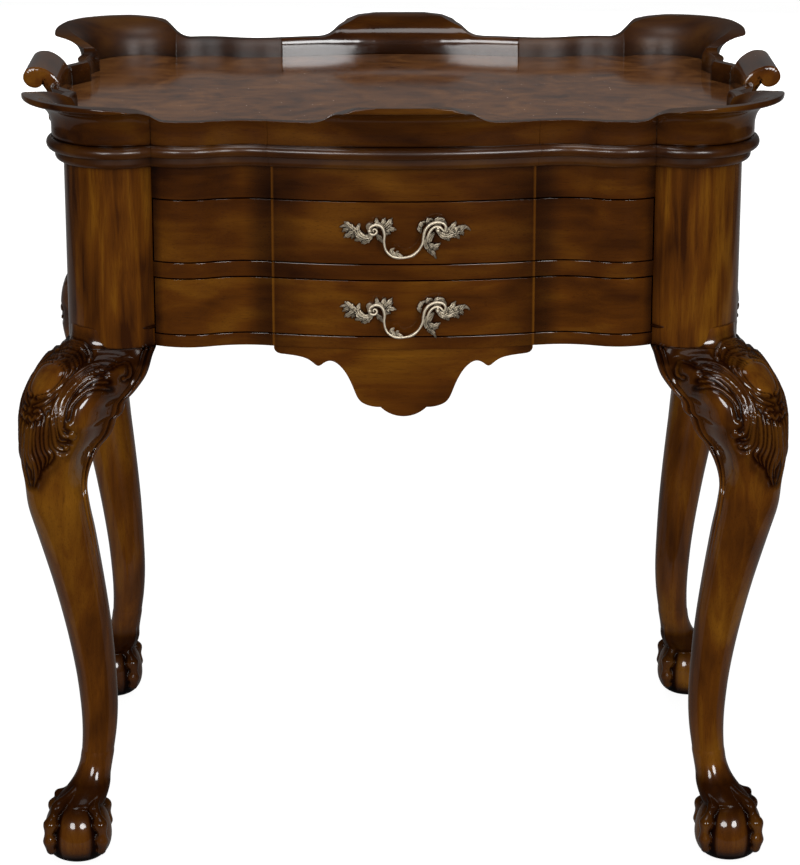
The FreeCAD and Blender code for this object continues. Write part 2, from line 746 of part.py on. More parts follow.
# ---------------------------------------------------------------- drawers
DRAWERS = {
    "upper": (DIVIDER_TOP, CASE_TOP - TOP_RAIL_H, PULL_LIFT_UPPER),
    "lower": (CASE_BOTTOM + BOTTOM_RAIL_H, DIVIDER_TOP - DIVIDER_H, PULL_LIFT_LOWER),
}
BOX_X = OPENING_HALF - BOX_IN
FRONT_INNER = -(HALF_D - FRONT_BACK)
BOX_BACK = PANEL_Y - DRAWER_BACK_GAP


def post_surface():
    """Depth of the bowed drawer front at a pull post."""
    reach = BOW_R - math.sqrt(BOW_R ** 2 - POST_HALF ** 2)
    return -BOW_FRONT + reach


def build_drawer(name, floor, ceiling, lift):
    """One drawer: shaped front, two sides, back and bottom."""
    low = floor + DRAWER_GAP
    high = ceiling - DRAWER_GAP
    half = OPENING_HALF - DRAWER_GAP
    front = slab(0.0, low, high).common(
        box(-half, -HALF_D - 40.0, low, half, FRONT_INNER, high))
    side_low = floor + RUN_CLEARANCE
    side_high = ceiling - DRAWER_HEADROOM
    bottom_z = side_low + DRAWER_BOTTOM_UP
    groove = SIDE_T / 2.0
    bottom = box(-BOX_X + groove, FRONT_INNER - groove, bottom_z,
                 BOX_X - groove, BOX_BACK, bottom_z + DRAWER_BOTTOM_T)
    side = box(-BOX_X, FRONT_INNER, side_low, -BOX_X + SIDE_T, BOX_BACK, side_high)
    side = side.cut(bottom)
    back = box(-BOX_X + SIDE_T, BOX_BACK - DRAWER_BACK_T, bottom_z + DRAWER_BOTTOM_T,
               BOX_X - SIDE_T, BOX_BACK, side_high)
    axis_z = (low + high) / 2.0 + lift
    holes = [Part.makeCylinder(STUD_R + STUD_CLEARANCE, FRONT_INNER + BOW_FRONT,
                               V(sx * POST_HALF, -BOW_FRONT, axis_z), V(0, 1, 0))
             for sx in (-1, 1)]
    export(name + "_drawer_front", front.cut([bottom] + holes))
    export(name + "_drawer_side_left", side)
    export(name + "_drawer_side_right", mirrored(side, True, False))
    export(name + "_drawer_back", back)
    export(name + "_drawer_bottom", bottom)
    build_pull(name, axis_z)


def leaf_plate(side, axis_z, skin):
    """Leafy rose around a post, lying on the drawer front."""
    points = [V(side * (POST_HALF + p[0]), -BOW_FRONT - ROSE_T, axis_z + p[1])
              for p in ROSE_OUTLINE]
    curve = Part.BSplineCurve()
    curve.interpolate(points, PeriodicFlag=True)
    face = Part.Face(Part.Wire([curve.toShape()]))
    return face.extrude(V(0, 2 * ROSE_T, 0)).cut(skin)


def build_pull(name, axis_z):
    """Two posts with leaf roses, their nuts, and the bail that hangs on them."""
    surface = post_surface()
    axis_y = surface - POST_REACH
    skin = slab(0.0, axis_z - 60.0, axis_z + 60.0)
    posts = []
    nuts = []
    for side in (-1, 1):
        x = side * POST_HALF
        rose = leaf_plate(side, axis_z, skin)
        shaft = Part.makeCylinder(POST_R * 0.7, POST_REACH + 6.0,
                                  V(x, axis_y, axis_z), V(0, 1, 0)).cut(skin)
        knuckle = Part.makeSphere(POST_R, V(x, axis_y, axis_z))
        stud_end = FRONT_INNER + NUT_T + 3.0
        stud = Part.makeCylinder(STUD_R, stud_end - surface + 1.0,
                                 V(x, surface - 1.0, axis_z), V(0, 1, 0))
        bore = Part.makeCylinder(PIN_R + PIN_CLEARANCE, 2 * POST_R + 4.0,
                                 V(x - POST_R - 2.0, axis_y, axis_z), V(1, 0, 0))
        posts.append(fused([rose, shaft, knuckle, stud]).cut(bore))
        nut = Part.makeCylinder(NUT_R, NUT_T, V(x, FRONT_INNER, axis_z), V(0, 1, 0))
        nuts.append(nut.cut(stud))
    export(name + "_pull_posts", *posts)
    export(name + "_pull_nuts", *nuts)

    export(name + "_bail", bail(axis_y, axis_z))


def bail(axis_y, axis_z):
    """Drop handle: a bowed rod turned out at both ends onto thin pins."""
    arm_x = POST_HALF - POST_R - PIN_GAP
    sweep_r = BAIL_DROP - BAIL_R - BAIL_BEND_R
    shoulder = V(-sweep_r, axis_y, axis_z - BAIL_BEND_R)
    diagonal = math.sqrt(0.5)
    bend = Part.Arc(V(-sweep_r - BAIL_BEND_R, axis_y, axis_z),
                    V(-sweep_r - BAIL_BEND_R * (1 - diagonal), axis_y,
                      axis_z - BAIL_BEND_R * (1 - diagonal)), shoulder).toShape()
    bow = Part.Arc(shoulder, V(0, axis_y, shoulder.z - sweep_r),
                   V(sweep_r, axis_y, shoulder.z)).toShape()
    end = V(-arm_x, axis_y, axis_z)
    stub = Part.LineSegment(end, V(-sweep_r - BAIL_BEND_R, axis_y, axis_z)).toShape()
    left = [stub, bend]
    right = [mirrored(e, True, False) for e in left]
    spine = Part.Wire(Part.__sortEdges__(left + [bow] + right))
    ring = Part.Wire([Part.Circle(end, V(1, 0, 0), BAIL_R).toShape()])
    rod = spine.makePipeShell([ring], True, True)
    pins = [Part.makeCylinder(PIN_R, POST_R + PIN_GAP + BAIL_R,
                              V(side * (arm_x - BAIL_R), axis_y, axis_z), V(side, 0, 0))
            for side in (-1, 1)]
    return fused([rod] + pins)


def build_drawer_supports():
    """Runners with their guides, and the dust panel between the drawers."""
    inner = PANEL_X
    reach = BOX_X - SIDE_T - RUNNER_W
    front = RAIL_INNER
    back = PANEL_Y
    runners = []
    for top, thick in ((DIVIDER_TOP, DIVIDER_H),
                       (CASE_BOTTOM + BOTTOM_RAIL_H, BOTTOM_RAIL_H)):
        for side in (-1, 1):
            ledge = box(side * inner, -END_HALF + GLUE_BLOCK, top - thick,
                        side * reach, END_HALF, top)
            nose = box(side * OPENING_HALF, front, top - thick,
                       side * reach, -END_HALF + GLUE_BLOCK, top)
            tail = box(side * OPENING_HALF, END_HALF, top - thick,
                       side * reach, back, top)
            guide = box(side * inner, -END_HALF + GLUE_BLOCK, top,
                        side * (BOX_X + RUN_CLEARANCE), END_HALF, top + GUIDE_H)
            runners.append(fused([ledge, nose, tail, guide]))
    export("drawer_runners", *runners)
    mid = DIVIDER_TOP - DIVIDER_H / 2.0
    export("dust_panel", box(-reach, front, mid - DUST_T / 2.0, reach, back,
                             mid + DUST_T / 2.0))


# ---------------------------------------------------------------- legs
def leg_section(share, outer, inner):
    """Closed section of a leg: a rounded square set on the diagonal."""
    z = share * CASE_BOTTOM
    middle = (outer + inner) / 2.0
    half = (outer - inner) / 2.0
    square = 1.0 + (KNEE_SQUARE - 1.0) * max(0.0, min(1.0, (share - 0.62) / 0.2))
    points = []
    for k in range(8):
        angle = math.pi / 4.0 * k
        reach = half * (square if k % 2 else 1.0)
        points.append(V(middle + reach * math.cos(angle),
                        middle + reach * math.sin(angle), z))
    curve = Part.BSplineCurve()
    curve.interpolate(points, PeriodicFlag=True)
    return Part.Wire([curve.toShape()])


def talon(angle, ankle):
    """One claw: tendon, two knuckles and a nail gripping the ball."""
    across = V(math.cos(angle), math.sin(angle), 0)
    stations = [
        (ankle + across * (BALL_R * 0.22) + V(0, 0, BALL_R * 2.9), TALON_R * 0.75),
        (across * (BALL_R * 0.86) + V(0, 0, BALL_R * 1.95), TALON_R * 0.95),
        (across * (BALL_R * 1.02) + V(0, 0, BALL_R * 1.15), TALON_R * 0.9),
        (across * (BALL_R * 0.86) + V(0, 0, BALL_R * 0.34), TALON_NAIL_R),
    ]
    pieces = []
    for (p, r), (q, s) in zip(stations, stations[1:]):
        run = q.sub(p)
        pieces.append(Part.makeCone(r, s, run.Length, p, run))
        pieces.append(Part.makeSphere(s * KNUCKLE_SWELL, q))
    pieces.append(Part.makeSphere(stations[0][1], stations[0][0]))
    return pieces


def build_legs():
    """Cabriole legs on claw and ball feet, with a bracket each side of the knee."""
    shank = Part.makeLoft([leg_section(*s) for s in LEG_STATIONS], True, False)
    centre_z = BALL_R - BALL_FLAT
    ball = Part.makeSphere(BALL_R, V(0, 0, centre_z))
    low = LEG_STATIONS[-1]
    off = (low[1] + low[2]) / 2.0
    ankle = V(off, off, 0)
    claws = []
    for k in range(4):
        claws += talon(math.pi / 4.0 + k * math.pi / 2.0, ankle)
    foot = ball.multiFuse(claws).cut(box(-80, -80, -20, 80, 80, 0))
    leg = shank.fuse(foot)
    leg = leg.Solids[0]
    leg.translate(V(FOOT_X, FOOT_Y, 0))
    holes = bolt_holes()
    brackets = knee_brackets(leg)
    for side_name, flip_x in (("left", True), ("right", False)):
        for end_name, flip_y in (("front", True), ("back", False)):
            where = "_" + end_name + "_" + side_name
            export("leg" + where, mirrored(leg, flip_x, flip_y).cut(holes))
            export("knee_brackets" + where,
                   *[mirrored(b, flip_x, flip_y) for b in brackets])


def bracket_profile(edge_at):
    """Bracket face in the XZ plane, from the case line at edge_at to the leg."""
    points = [(edge_at, CASE_BOTTOM)]
    for middle, end in BRACKET_EDGE:
        points.append((edge_at - middle[0], CASE_BOTTOM - middle[1], 0))
        points.append((edge_at - end[0], CASE_BOTTOM - end[1]))
    points.append((FOOT_X, points[-1][1]))
    points.append((FOOT_X, CASE_BOTTOM))
    return profile_face(points)


def knee_brackets(leg):
    """The two brackets of the back right leg, trimmed to the knee."""
    along_front = bracket_profile(OPENING_HALF)
    along_front.translate(V(0, HALF_D - BRACKET_SET - BRACKET_T, 0))
    first = along_front.extrude(V(0, BRACKET_T, 0))
    along_end = bracket_profile(END_HALF + FOOT_X - FOOT_Y)
    along_end.translate(V(FOOT_Y - FOOT_X, 0, 0))
    along_end.rotate(V(0, 0, 0), UP, 90)
    along_end.translate(V(HALF_W - BRACKET_SET, 0, 0))
    second = along_end.extrude(V(-BRACKET_T, 0, 0))
    found = []
    for piece, other in ((first, None), (second, first)):
        piece = piece.cut(leg)
        if other:
            piece = piece.cut(other)
        found.append(max(piece.Solids, key=lambda s: s.Volume))
    return found


build_top()
build_mouldings()
build_gallery()
build_case()
build_aprons()
for drawer_name, (drawer_floor, drawer_ceiling, pull_lift) in DRAWERS.items():
    build_drawer(drawer_name, drawer_floor, drawer_ceiling, pull_lift)
build_drawer_supports()
build_legs()
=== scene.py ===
"""Looks of a tray top tea table: finishes, shaped gallery, carved legs and cast pulls."""
import json
import logging
import math
from dataclasses import dataclass, replace
from enum import Enum

import bpy
import numpy as np
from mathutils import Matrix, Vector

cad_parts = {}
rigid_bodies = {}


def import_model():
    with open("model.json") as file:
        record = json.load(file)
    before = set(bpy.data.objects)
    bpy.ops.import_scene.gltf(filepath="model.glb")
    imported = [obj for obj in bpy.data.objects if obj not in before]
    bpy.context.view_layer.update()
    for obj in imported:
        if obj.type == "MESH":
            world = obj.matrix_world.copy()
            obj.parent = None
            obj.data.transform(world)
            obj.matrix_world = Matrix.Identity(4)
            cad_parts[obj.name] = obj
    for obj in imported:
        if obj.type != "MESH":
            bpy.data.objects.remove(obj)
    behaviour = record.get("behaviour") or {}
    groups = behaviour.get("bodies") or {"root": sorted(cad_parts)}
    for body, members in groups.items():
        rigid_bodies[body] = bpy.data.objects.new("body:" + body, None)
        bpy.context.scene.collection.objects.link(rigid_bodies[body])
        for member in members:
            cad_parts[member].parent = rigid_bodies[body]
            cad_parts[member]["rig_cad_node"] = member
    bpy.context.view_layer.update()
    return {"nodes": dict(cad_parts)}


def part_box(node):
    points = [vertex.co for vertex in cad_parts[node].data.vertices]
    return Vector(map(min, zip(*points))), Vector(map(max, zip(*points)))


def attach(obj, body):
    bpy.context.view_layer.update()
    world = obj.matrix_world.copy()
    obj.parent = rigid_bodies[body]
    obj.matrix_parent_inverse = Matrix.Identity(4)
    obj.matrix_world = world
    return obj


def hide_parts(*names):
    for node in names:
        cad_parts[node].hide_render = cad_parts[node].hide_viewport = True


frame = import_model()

LOG = logging.getLogger("tea_table")
MM = 0.001                       # every size below is in millimetres
BODY = "frame"
SIDES = (("left", False), ("right", True))       # name, whether mirrored in x
ENDS = (("front", False), ("back", True))        # name, whether mirrored in y
SMOOTH_STEPS = 24                # points on each stretch of a smooth line
SUBDIVISIONS = 2                 # levels of a swept piece's subdivision
Point = tuple[float, float]


# ---------------------------------------------------------------- mesh helpers
def mesh_piece(name: str, points: np.ndarray, faces: list, smooth: bool = True) -> bpy.types.Object:
    """Make an object from points in millimetres.

    Args:
        name: Name of the new object.
        points: Rows of x, y, z in millimetres.
        faces: Corner indices of each face.
        smooth: Whether the faces are shaded smooth.

    Returns:
        The linked object.
    """
    mesh = bpy.data.meshes.new(name)
    mesh.from_pydata((np.asarray(points, float) * MM).tolist(), [], faces)
    mesh.polygons.foreach_set("use_smooth", [smooth] * len(mesh.polygons))
    mesh.update()
    piece = bpy.data.objects.new(name, mesh)
    bpy.context.scene.collection.objects.link(piece)
    return piece


def grid_faces(rows: int, cols: int, wrap: bool = True, first: int = 0) -> list:
    """Quads over a grid of points stored row after row.

    Args:
        rows: Number of rows.
        cols: Points in a row.
        wrap: Whether the last column joins the first.
        first: Index of the grid's first point.

    Returns:
        Corner indices of the quads.
    """
    faces = []
    for r in range(rows - 1):
        for c in range(cols if wrap else cols - 1):
            d = (c + 1) % cols
            a = first + r * cols
            faces.append((a + c, a + d, a + cols + d, a + cols + c))
    return faces


def tube_faces(rows: int, cols: int, first: int = 0) -> list:
    """Quads of a closed tube with a flat cap on each end.

    Args:
        rows: Number of sections.
        cols: Points in a section.
        first: Index of the tube's first point.

    Returns:
        Corner indices of the faces.
    """
    caps = [tuple(first + c for c in reversed(range(cols))),
            tuple(first + (rows - 1) * cols + c for c in range(cols))]
    return grid_faces(rows, cols, True, first) + caps


def flipped(points: np.ndarray, faces: list, flip_x: bool, flip_y: bool) -> tuple[np.ndarray, list]:
    """Reflect points in the middle planes and keep the faces turned outward.

    Args:
        points: Rows of x, y, z.
        faces: Corner indices of each face.
        flip_x: Whether x changes sign.
        flip_y: Whether y changes sign.

    Returns:
        The points and the faces.
    """
    signs = np.array([-1.0 if flip_x else 1.0, -1.0 if flip_y else 1.0, 1.0])
    if flip_x != flip_y:
        faces = [tuple(reversed(f)) for f in faces]
    return np.asarray(points) * signs, faces


def run_of(path: np.ndarray) -> np.ndarray:
    """Distance run along a polyline at each of its points."""
    return np.concatenate([[0.0], np.cumsum(np.linalg.norm(np.diff(path, axis=0), axis=1))])


def length_of(path: np.ndarray) -> float:
    """Length of a polyline."""
    return float(run_of(path)[-1])


def along(path: np.ndarray, distances: np.ndarray) -> np.ndarray:
    """Points at given distances along a polyline."""
    run = run_of(path)
    return np.stack([np.interp(distances, run, path[:, k]) for k in range(path.shape[1])], axis=1)


def smooth_line(points: tuple, count: int) -> np.ndarray:
    """Evenly spaced points on a smooth curve through a few points.

    Args:
        points: The points that the curve passes.
        count: Number of points to return.

    Returns:
        An array with a row for each point.
    """
    p = np.asarray(points, float)
    ends = np.vstack([2 * p[0] - p[1], p, 2 * p[-1] - p[-2]])
    t = np.linspace(0.0, 1.0, SMOOTH_STEPS, endpoint=False)[:, None]
    rows = []
    for i in range(len(p) - 1):
        a, b, c, d = ends[i:i + 4]
        rows.append(0.5 * (2 * b + (c - a) * t + (2 * a - 5 * b + 4 * c - d) * t ** 2
                           + (3 * b - a - 3 * c + d) * t ** 3))
    dense = np.vstack(rows + [p[-1:]])
    return along(dense, np.linspace(0.0, length_of(dense), count))


def headings(line: np.ndarray) -> np.ndarray:
    """Unit direction of a line at each of its points."""
    way = np.gradient(line, axis=0)
    return way / np.linalg.norm(way, axis=1, keepdims=True)


def gaps_to(line: np.ndarray, places: np.ndarray) -> np.ndarray:
    """Distance of each place from each point of a line."""
    return np.linalg.norm(places[:, None] - line[None], axis=2)


def circle(count: int) -> np.ndarray:
    """Angles of evenly spaced points round a circle."""
    return np.linspace(0, 2 * math.pi, count, endpoint=False)


def gathered(parts: list) -> tuple[np.ndarray, list]:
    """Join separate closed parts into one list of points and faces.

    Args:
        parts: Pairs of points and faces.

    Returns:
        All the points and all the faces.
    """
    points, faces, count = [], [], 0
    for rows, quads in parts:
        points.append(rows)
        faces += [tuple(i + count for i in quad) for quad in quads]
        count += len(rows)
    return np.vstack(points), faces


def crease_loops(piece: bpy.types.Object, loops: tuple, cols: int, weight: float) -> None:
    """Keep some loops of a swept piece crisp when it is subdivided.

    Args:
        piece: The piece.
        loops: Numbers of the sections that stay crisp.
        cols: Points in a section.
        weight: Crispness, from 0 to 1.
    """
    mesh = piece.data
    layer = mesh.attributes.new("crease_edge", "FLOAT", "EDGE")
    rows = [(edge.vertices[0] // cols, edge.vertices[1] // cols) for edge in mesh.edges]
    layer.data.foreach_set("value", [weight if a == b and a in loops else 0.0 for a, b in rows])


def swept_piece(name: str, rows: list, flips: tuple[bool, bool], crease: float, node: str,
                finish: bpy.types.Material) -> None:
    """Sweep sections into a rounded part of the gallery that stands for a CAD node.

    Args:
        name: Name of the piece.
        rows: The sections, as rows of x, y, z.
        flips: Whether it is mirrored in x and in y.
        crease: Crispness of the piece's ends.
        node: The CAD node.
        finish: The finish it gets.
    """
    cols = len(rows[0])
    faces = [tuple(reversed(f)) for f in tube_faces(len(rows), cols)]
    piece = mesh_piece(name, *flipped(np.vstack(rows), faces, *flips))
    crease_loops(piece, (0, len(rows) - 1), cols, crease)
    rounded = piece.modifiers.new("rounded", "SUBSURF")
    rounded.levels = rounded.render_levels = SUBDIVISIONS
    dress(piece, finish)
    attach(piece, BODY)
    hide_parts(node)
    LOG.info("built %s", name)


# ---------------------------------------------------------------- plan of the table
@dataclass(frozen=True)
class Arc:
    """A round stretch of the plan: +1 swells outward, -1 is hollow."""

    centre: Point
    radius: float
    sense: int

    def at(self, start: Point, end: Point, share: float, offset: float) -> Point:
        """Point on the arc moved out by offset, between two of its ends.

        Args:
            start: The stretch's first end.
            end: The stretch's last end.
            share: Place between the ends, from 0 to 1.
            offset: How far the outline is moved out.

        Returns:
            The point.
        """
        a = math.atan2(start[1] - self.centre[1], start[0] - self.centre[0])
        b = math.atan2(end[1] - self.centre[1], end[0] - self.centre[0])
        sweep = (b - a + math.pi) % (2 * math.pi) - math.pi
        angle = a + share * sweep
        reach = self.radius + self.sense * offset
        return (self.centre[0] + reach * math.cos(angle), self.centre[1] + reach * math.sin(angle))


@dataclass(frozen=True)
class Straight:
    """A straight stretch of the plan."""

    start: Point
    end: Point

    def moved(self, offset: float) -> tuple[Point, Point]:
        """A point on the line moved out by offset, and the line's direction.

        Args:
            offset: How far the outline is moved out.

        Returns:
            The point and the line's direction.
        """
        run = math.dist(self.start, self.end)
        way = ((self.end[0] - self.start[0]) / run, (self.end[1] - self.start[1]) / run)
        return (self.start[0] - way[1] * offset, self.start[1] + way[0] * offset), way

    def at(self, start: Point, end: Point, share: float, offset: float) -> Point:
        """Point between two ends of the moved line, which already hold the offset."""
        return (start[0] + (end[0] - start[0]) * share, start[1] + (end[1] - start[1]) * share)


@dataclass(frozen=True)
class Plan:
    """The shaped outline of the case, as its front left quarter."""

    half_width: float = 322.0
    half_depth: float = 217.0
    pillar: float = 51.0
    swell: float = 61.0
    swell_in: float = 66.0
    swell_back: float = 4.0
    hollow_in: float = 55.0
    hollow_deep: float = 10.0
    arris: float = 124.0
    bow_proud: float = 4.0
    bow_rise: float = 14.4
    vee_in: float = 80.0
    vee_deep: float = 11.0
    bay_half: float = 52.0
    bay_proud: float = 9.0
    bay_rise: float = 3.0

    NAMES = ("bow", "hollow", "front_swell", "pillar", "end_swell", "vee", "bay")

    def stretches(self) -> list:
        """The stretches from the middle of the front round to the middle of the end.

        Returns:
            Arcs and straight lines in order.
        """
        px = self.half_width - self.pillar
        py = self.half_depth - self.pillar
        bow_front = self.half_depth + self.bow_proud
        bow_r = (self.arris ** 2 + self.bow_rise ** 2) / (2 * self.bow_rise)
        front = (-(px - self.swell_in), -(self.half_depth - self.swell_back) + self.swell)
        side = (-(self.half_width - self.swell_back) + self.swell, -(py - self.swell_in))
        hollow_r = ((self.hollow_in ** 2 + (self.swell - self.hollow_deep) ** 2 - self.swell ** 2)
                    / (2 * self.hollow_deep))
        hollow = (front[0] + self.hollow_in,
                  -(self.half_depth - self.swell_back - self.hollow_deep) - hollow_r)
        bay_front = self.half_width + self.bay_proud + self.bay_rise
        bay_r = (self.bay_half ** 2 + self.bay_rise ** 2) / (2 * self.bay_rise)
        return [
            Arc((0.0, -bow_front + bow_r), bow_r, 1),
            Arc(hollow, hollow_r, -1),
            Arc(front, self.swell, 1),
            Arc((-px, -py), self.pillar, 1),
            Arc(side, self.swell, 1),
            Straight((-(self.half_width - self.vee_deep), -self.vee_in),
                     (-(self.half_width + self.bay_proud), -self.bay_half)),
            Arc((-bay_front + bay_r, 0.0), bay_r, 1),
        ]

    def near(self) -> list[Point]:
        """Rough places where neighbouring stretches meet.

        Returns:
            A point for each meeting, in order.
        """
        px = self.half_width - self.pillar
        py = self.half_depth - self.pillar
        front = self.half_depth - self.swell_back
        return [
            (-self.arris, -front + self.hollow_deep),
            (-(px - self.swell_in) + self.hollow_in / 2, -front),
            (-(px - self.swell_in / 2), -(self.half_depth - 3 * self.swell_back)),
            (-(self.half_width - 3 * self.swell_back), -(py - self.swell_in / 2)),
            (-(self.half_width - self.vee_deep), -self.vee_in),
            (-(self.half_width + self.bay_proud), -self.bay_half),
        ]

    def meeting(self, i: int, offset: float) -> Point:
        """Where stretches i and i + 1 meet when the outline is moved out by offset.

        Args:
            i: Number of the first stretch.
            offset: How far the outline is moved out.

        Returns:
            The point where they meet.
        """
        first, second = self.stretches()[i:i + 2]
        hint = self.near()[i]
        if isinstance(first, Arc) and isinstance(second, Arc):
            c0, r0 = first.centre, first.radius + first.sense * offset
            c1, r1 = second.centre, second.radius + second.sense * offset
            gap = math.dist(c0, c1)
            way = ((c1[0] - c0[0]) / gap, (c1[1] - c0[1]) / gap)
            reach = (gap ** 2 + r0 ** 2 - r1 ** 2) / (2 * gap)
            aside = math.sqrt(max(0.0, r0 ** 2 - reach ** 2))
            found = [(c0[0] + way[0] * reach - s * way[1] * aside,
                      c0[1] + way[1] * reach + s * way[0] * aside) for s in (1, -1)]
            return min(found, key=lambda p: math.dist(p, hint))
        line, arc = (first, second) if isinstance(first, Straight) else (second, first)
        start, way = line.moved(offset)
        radius = arc.radius + arc.sense * offset
        rel = (start[0] - arc.centre[0], start[1] - arc.centre[1])
        middle = -(rel[0] * way[0] + rel[1] * way[1])
        root = math.sqrt(max(0.0, radius ** 2 - rel[0] ** 2 - rel[1] ** 2 + middle ** 2))
        found = [(start[0] + way[0] * t, start[1] + way[1] * t) for t in (middle - root, middle + root)]
        return min(found, key=lambda p: math.dist(p, hint))

    def corner(self, k: int, offset: float) -> Point:
        """Corner point k of the moved outline, from the front round to the end.

        Args:
            k: Number of the corner.
            offset: How far the outline is moved out.

        Returns:
            The point.
        """
        if k == 0:
            return (0.0, -(self.half_depth + self.bow_proud) - offset)
        if k == len(self.NAMES):
            return (-(self.half_width + self.bay_proud + self.bay_rise) - offset, 0.0)
        return self.meeting(k - 1, offset)

    def row(self, name: str, share: float, section: np.ndarray) -> np.ndarray:
        """Place a section, given as offset and height, across the outline.

        Args:
            name: Stretch of the outline.
            share: Place along the stretch, from 0 to 1.
            section: Rows of offset and height.

        Returns:
            Rows of x, y, z.
        """
        i = self.NAMES.index(name)
        stretch = self.stretches()[i]
        placed = []
        for offset, height in section:
            start = self.corner(i, offset)
            end = self.corner(i + 1, offset)
            x, y = stretch.at(start, end, share, offset)
            placed.append((x, y, height))
        return np.array(placed)


PLAN = Plan()


# ---------------------------------------------------------------- gallery
@dataclass(frozen=True)
class Gallery:
    """The wall round the tray, with raised lobes that sweep outward."""

    base: float = 717.4
    rim: float = 742.4
    crest: float = 762.0
    spring: float = 734.0
    inner: float = 2.0
    wall: float = 9.0
    reach: float = 36.0          # lip edge beyond the inner face
    lip: float = 6.5
    hairline: float = 0.03
    edge: float = 1.3            # how far a rounded edge's support stands off
    crease: float = 1.0          # crispness of a length's ends
    # half the centre lobe: distance from the middle, height
    centre_lobe: tuple = (
        (0, 762), (26, 762), (43, 760.2), (50, 757.2), (54, 755.6), (64, 752), (73, 745.6), (80, 743),
        (87, 742.4), (200, 742.4),
    )
    # half a corner lobe: distance from the middle of the front, then of the end, and height
    corner_lobe: tuple = (
        (150, 742.4), (224, 742.4), (231, 744.6), (239, 750), (247, 755.8), (253, 757.2), (258, 758.4),
        (275, 760.4), (315, 762),
    )
    end_lobe: tuple = (
        (85, 742.4), (121, 742.4), (128, 744.4), (134, 749.5), (140, 753.6), (148, 757), (159, 759.2),
        (173, 760.8), (191, 762),
    )

    def lobe_height(self, lobe: tuple, at: float) -> float:
        """Height of the wall's top at a distance from the middle."""
        return float(np.interp(at, [p[0] for p in lobe], [p[1] for p in lobe]))

    def section(self, top: float) -> np.ndarray:
        """Closed section of the wall cut off at a height.

        Args:
            top: Height of the wall's top.

        Returns:
            Rows of offset and height, up the inner face and down the outer one.
        """
        rise = self.crest - self.spring
        under = rise - self.lip
        turn_in = math.asin(min(1.0, (top - self.spring) / rise))
        turn_out = math.asin(min(1.0, (top - self.spring) / under))
        steps = np.linspace(0.0, 1.0, SMOOTH_STEPS)
        inner = np.column_stack([self.inner + self.reach * (1 - np.cos(turn_in * steps)),
                                 self.spring + rise * np.sin(turn_in * steps)])
        outer_at = self.inner + self.wall
        outer = np.column_stack([outer_at + (self.reach - self.wall) * (1 - np.cos(turn_out * steps)),
                                 self.spring + under * np.sin(turn_out * steps)])
        inner = np.vstack([[self.inner, self.base], inner])
        outer = np.vstack([[outer_at, self.base], outer])
        if top > self.spring + under:
            outer = np.vstack([outer, [self.inner + self.reach, top]])
        inner = inner[::-1]
        outer = outer[::-1]
        e = self.edge
        spread = np.array([0.0, e, 3 * e, 5 * e])
        rest = np.linspace(0.0, 1.0, 7)[1:]
        inside = along(inner, np.concatenate([spread, 5 * e + rest * (length_of(inner) - 5 * e)]))
        outside = along(outer, np.concatenate([spread, 5 * e + rest * (length_of(outer) - 5 * e)]))
        ridge = np.vstack([inner[0], outer[0]])
        across = length_of(ridge)
        cap = along(ridge, np.array([min(e, across / 3), across / 2, across - min(e, across / 3)]))
        return np.vstack([inside[::-1], cap, outside])

    def top_at(self, name: str, share: float) -> float:
        """Height of the wall's top at a place on the outline.

        Args:
            name: Stretch of the outline.
            share: Place along the stretch, from 0 to 1.

        Returns:
            The height.
        """
        x, y = PLAN.row(name, share, np.array([[self.inner + self.wall, 0.0]]))[0][:2]
        if name == "bow":
            return self.lobe_height(self.centre_lobe, abs(x))
        if name in ("hollow", "front_swell"):
            return self.lobe_height(self.corner_lobe, abs(x))
        if name == "pillar":
            return min(self.lobe_height(self.corner_lobe, abs(x)), self.lobe_height(self.end_lobe, abs(y)))
        if name == "end_swell":
            return self.lobe_height(self.end_lobe, abs(y))
        return self.rim

    def wall_along(self, names: tuple[str, ...], stations: tuple[int, ...]) -> list:
        """Sections of the wall along neighbouring stretches; the bow and the bay run on past the middle.

        Args:
            names: The stretches.
            stations: Number of sections on each.

        Returns:
            The sections, as rows of x, y, z.
        """
        rows = []
        for name, count in zip(names, stations):
            i = PLAN.NAMES.index(name)
            gap = self.hairline / math.dist(PLAN.corner(i, self.inner), PLAN.corner(i + 1, self.inner))
            shares = np.linspace(0.0, 1.0, count)
            if name != names[0]:
                shares = shares[1:]
            elif name != "bow":
                shares[0] = gap
            if name == names[-1] and name != "bay":
                shares[-1] = 1.0 - gap
            rows += [PLAN.row(name, s, self.section(self.top_at(name, s))) for s in shares]
        if names[0] == "bow":
            rows = [row * (-1, 1, 1) for row in rows[:0:-1]] + rows
        if names[-1] == "bay":
            rows += [row * (1, -1, 1) for row in rows[-2::-1]]
        return rows

    def build(self, finish: bpy.types.Material, dulled: bpy.types.Material) -> None:
        """Build every length of the wall; the back's flanks and lobes are duller.

        Args:
            finish: The finish of most lengths.
            dulled: The finish of the back's flanks and lobes.
        """
        bow = self.wall_along(("bow",), (46,))
        flank = self.wall_along(("hollow", "front_swell"), (16, 22))
        corner = self.wall_along(("pillar",), (50,))
        swell = self.wall_along(("end_swell",), (22,))
        vee = self.wall_along(("vee",), (5,))
        bay = self.wall_along(("bay",), (8,))
        for end, flip_y in ENDS:
            beside = dulled if flip_y else finish
            swept_piece(f"gallery_bow_{end}", bow, (False, flip_y), self.crease, "gallery_" + end, finish)
            for side, flip_x in SIDES:
                for what, rows, node, look in (("flank", flank, end, beside),
                                               ("lobe", corner, f"corner_{end}_{side}", beside),
                                               ("swell", swell, side, finish), ("vee", vee, side, finish)):
                    swept_piece(f"gallery_{what}_{end}_{side}", rows, (flip_x, flip_y), self.crease,
                                "gallery_" + node, look)
        for side, flip_x in SIDES:
            swept_piece("gallery_bay_" + side, bay, (flip_x, False), self.crease, "gallery_" + side, finish)


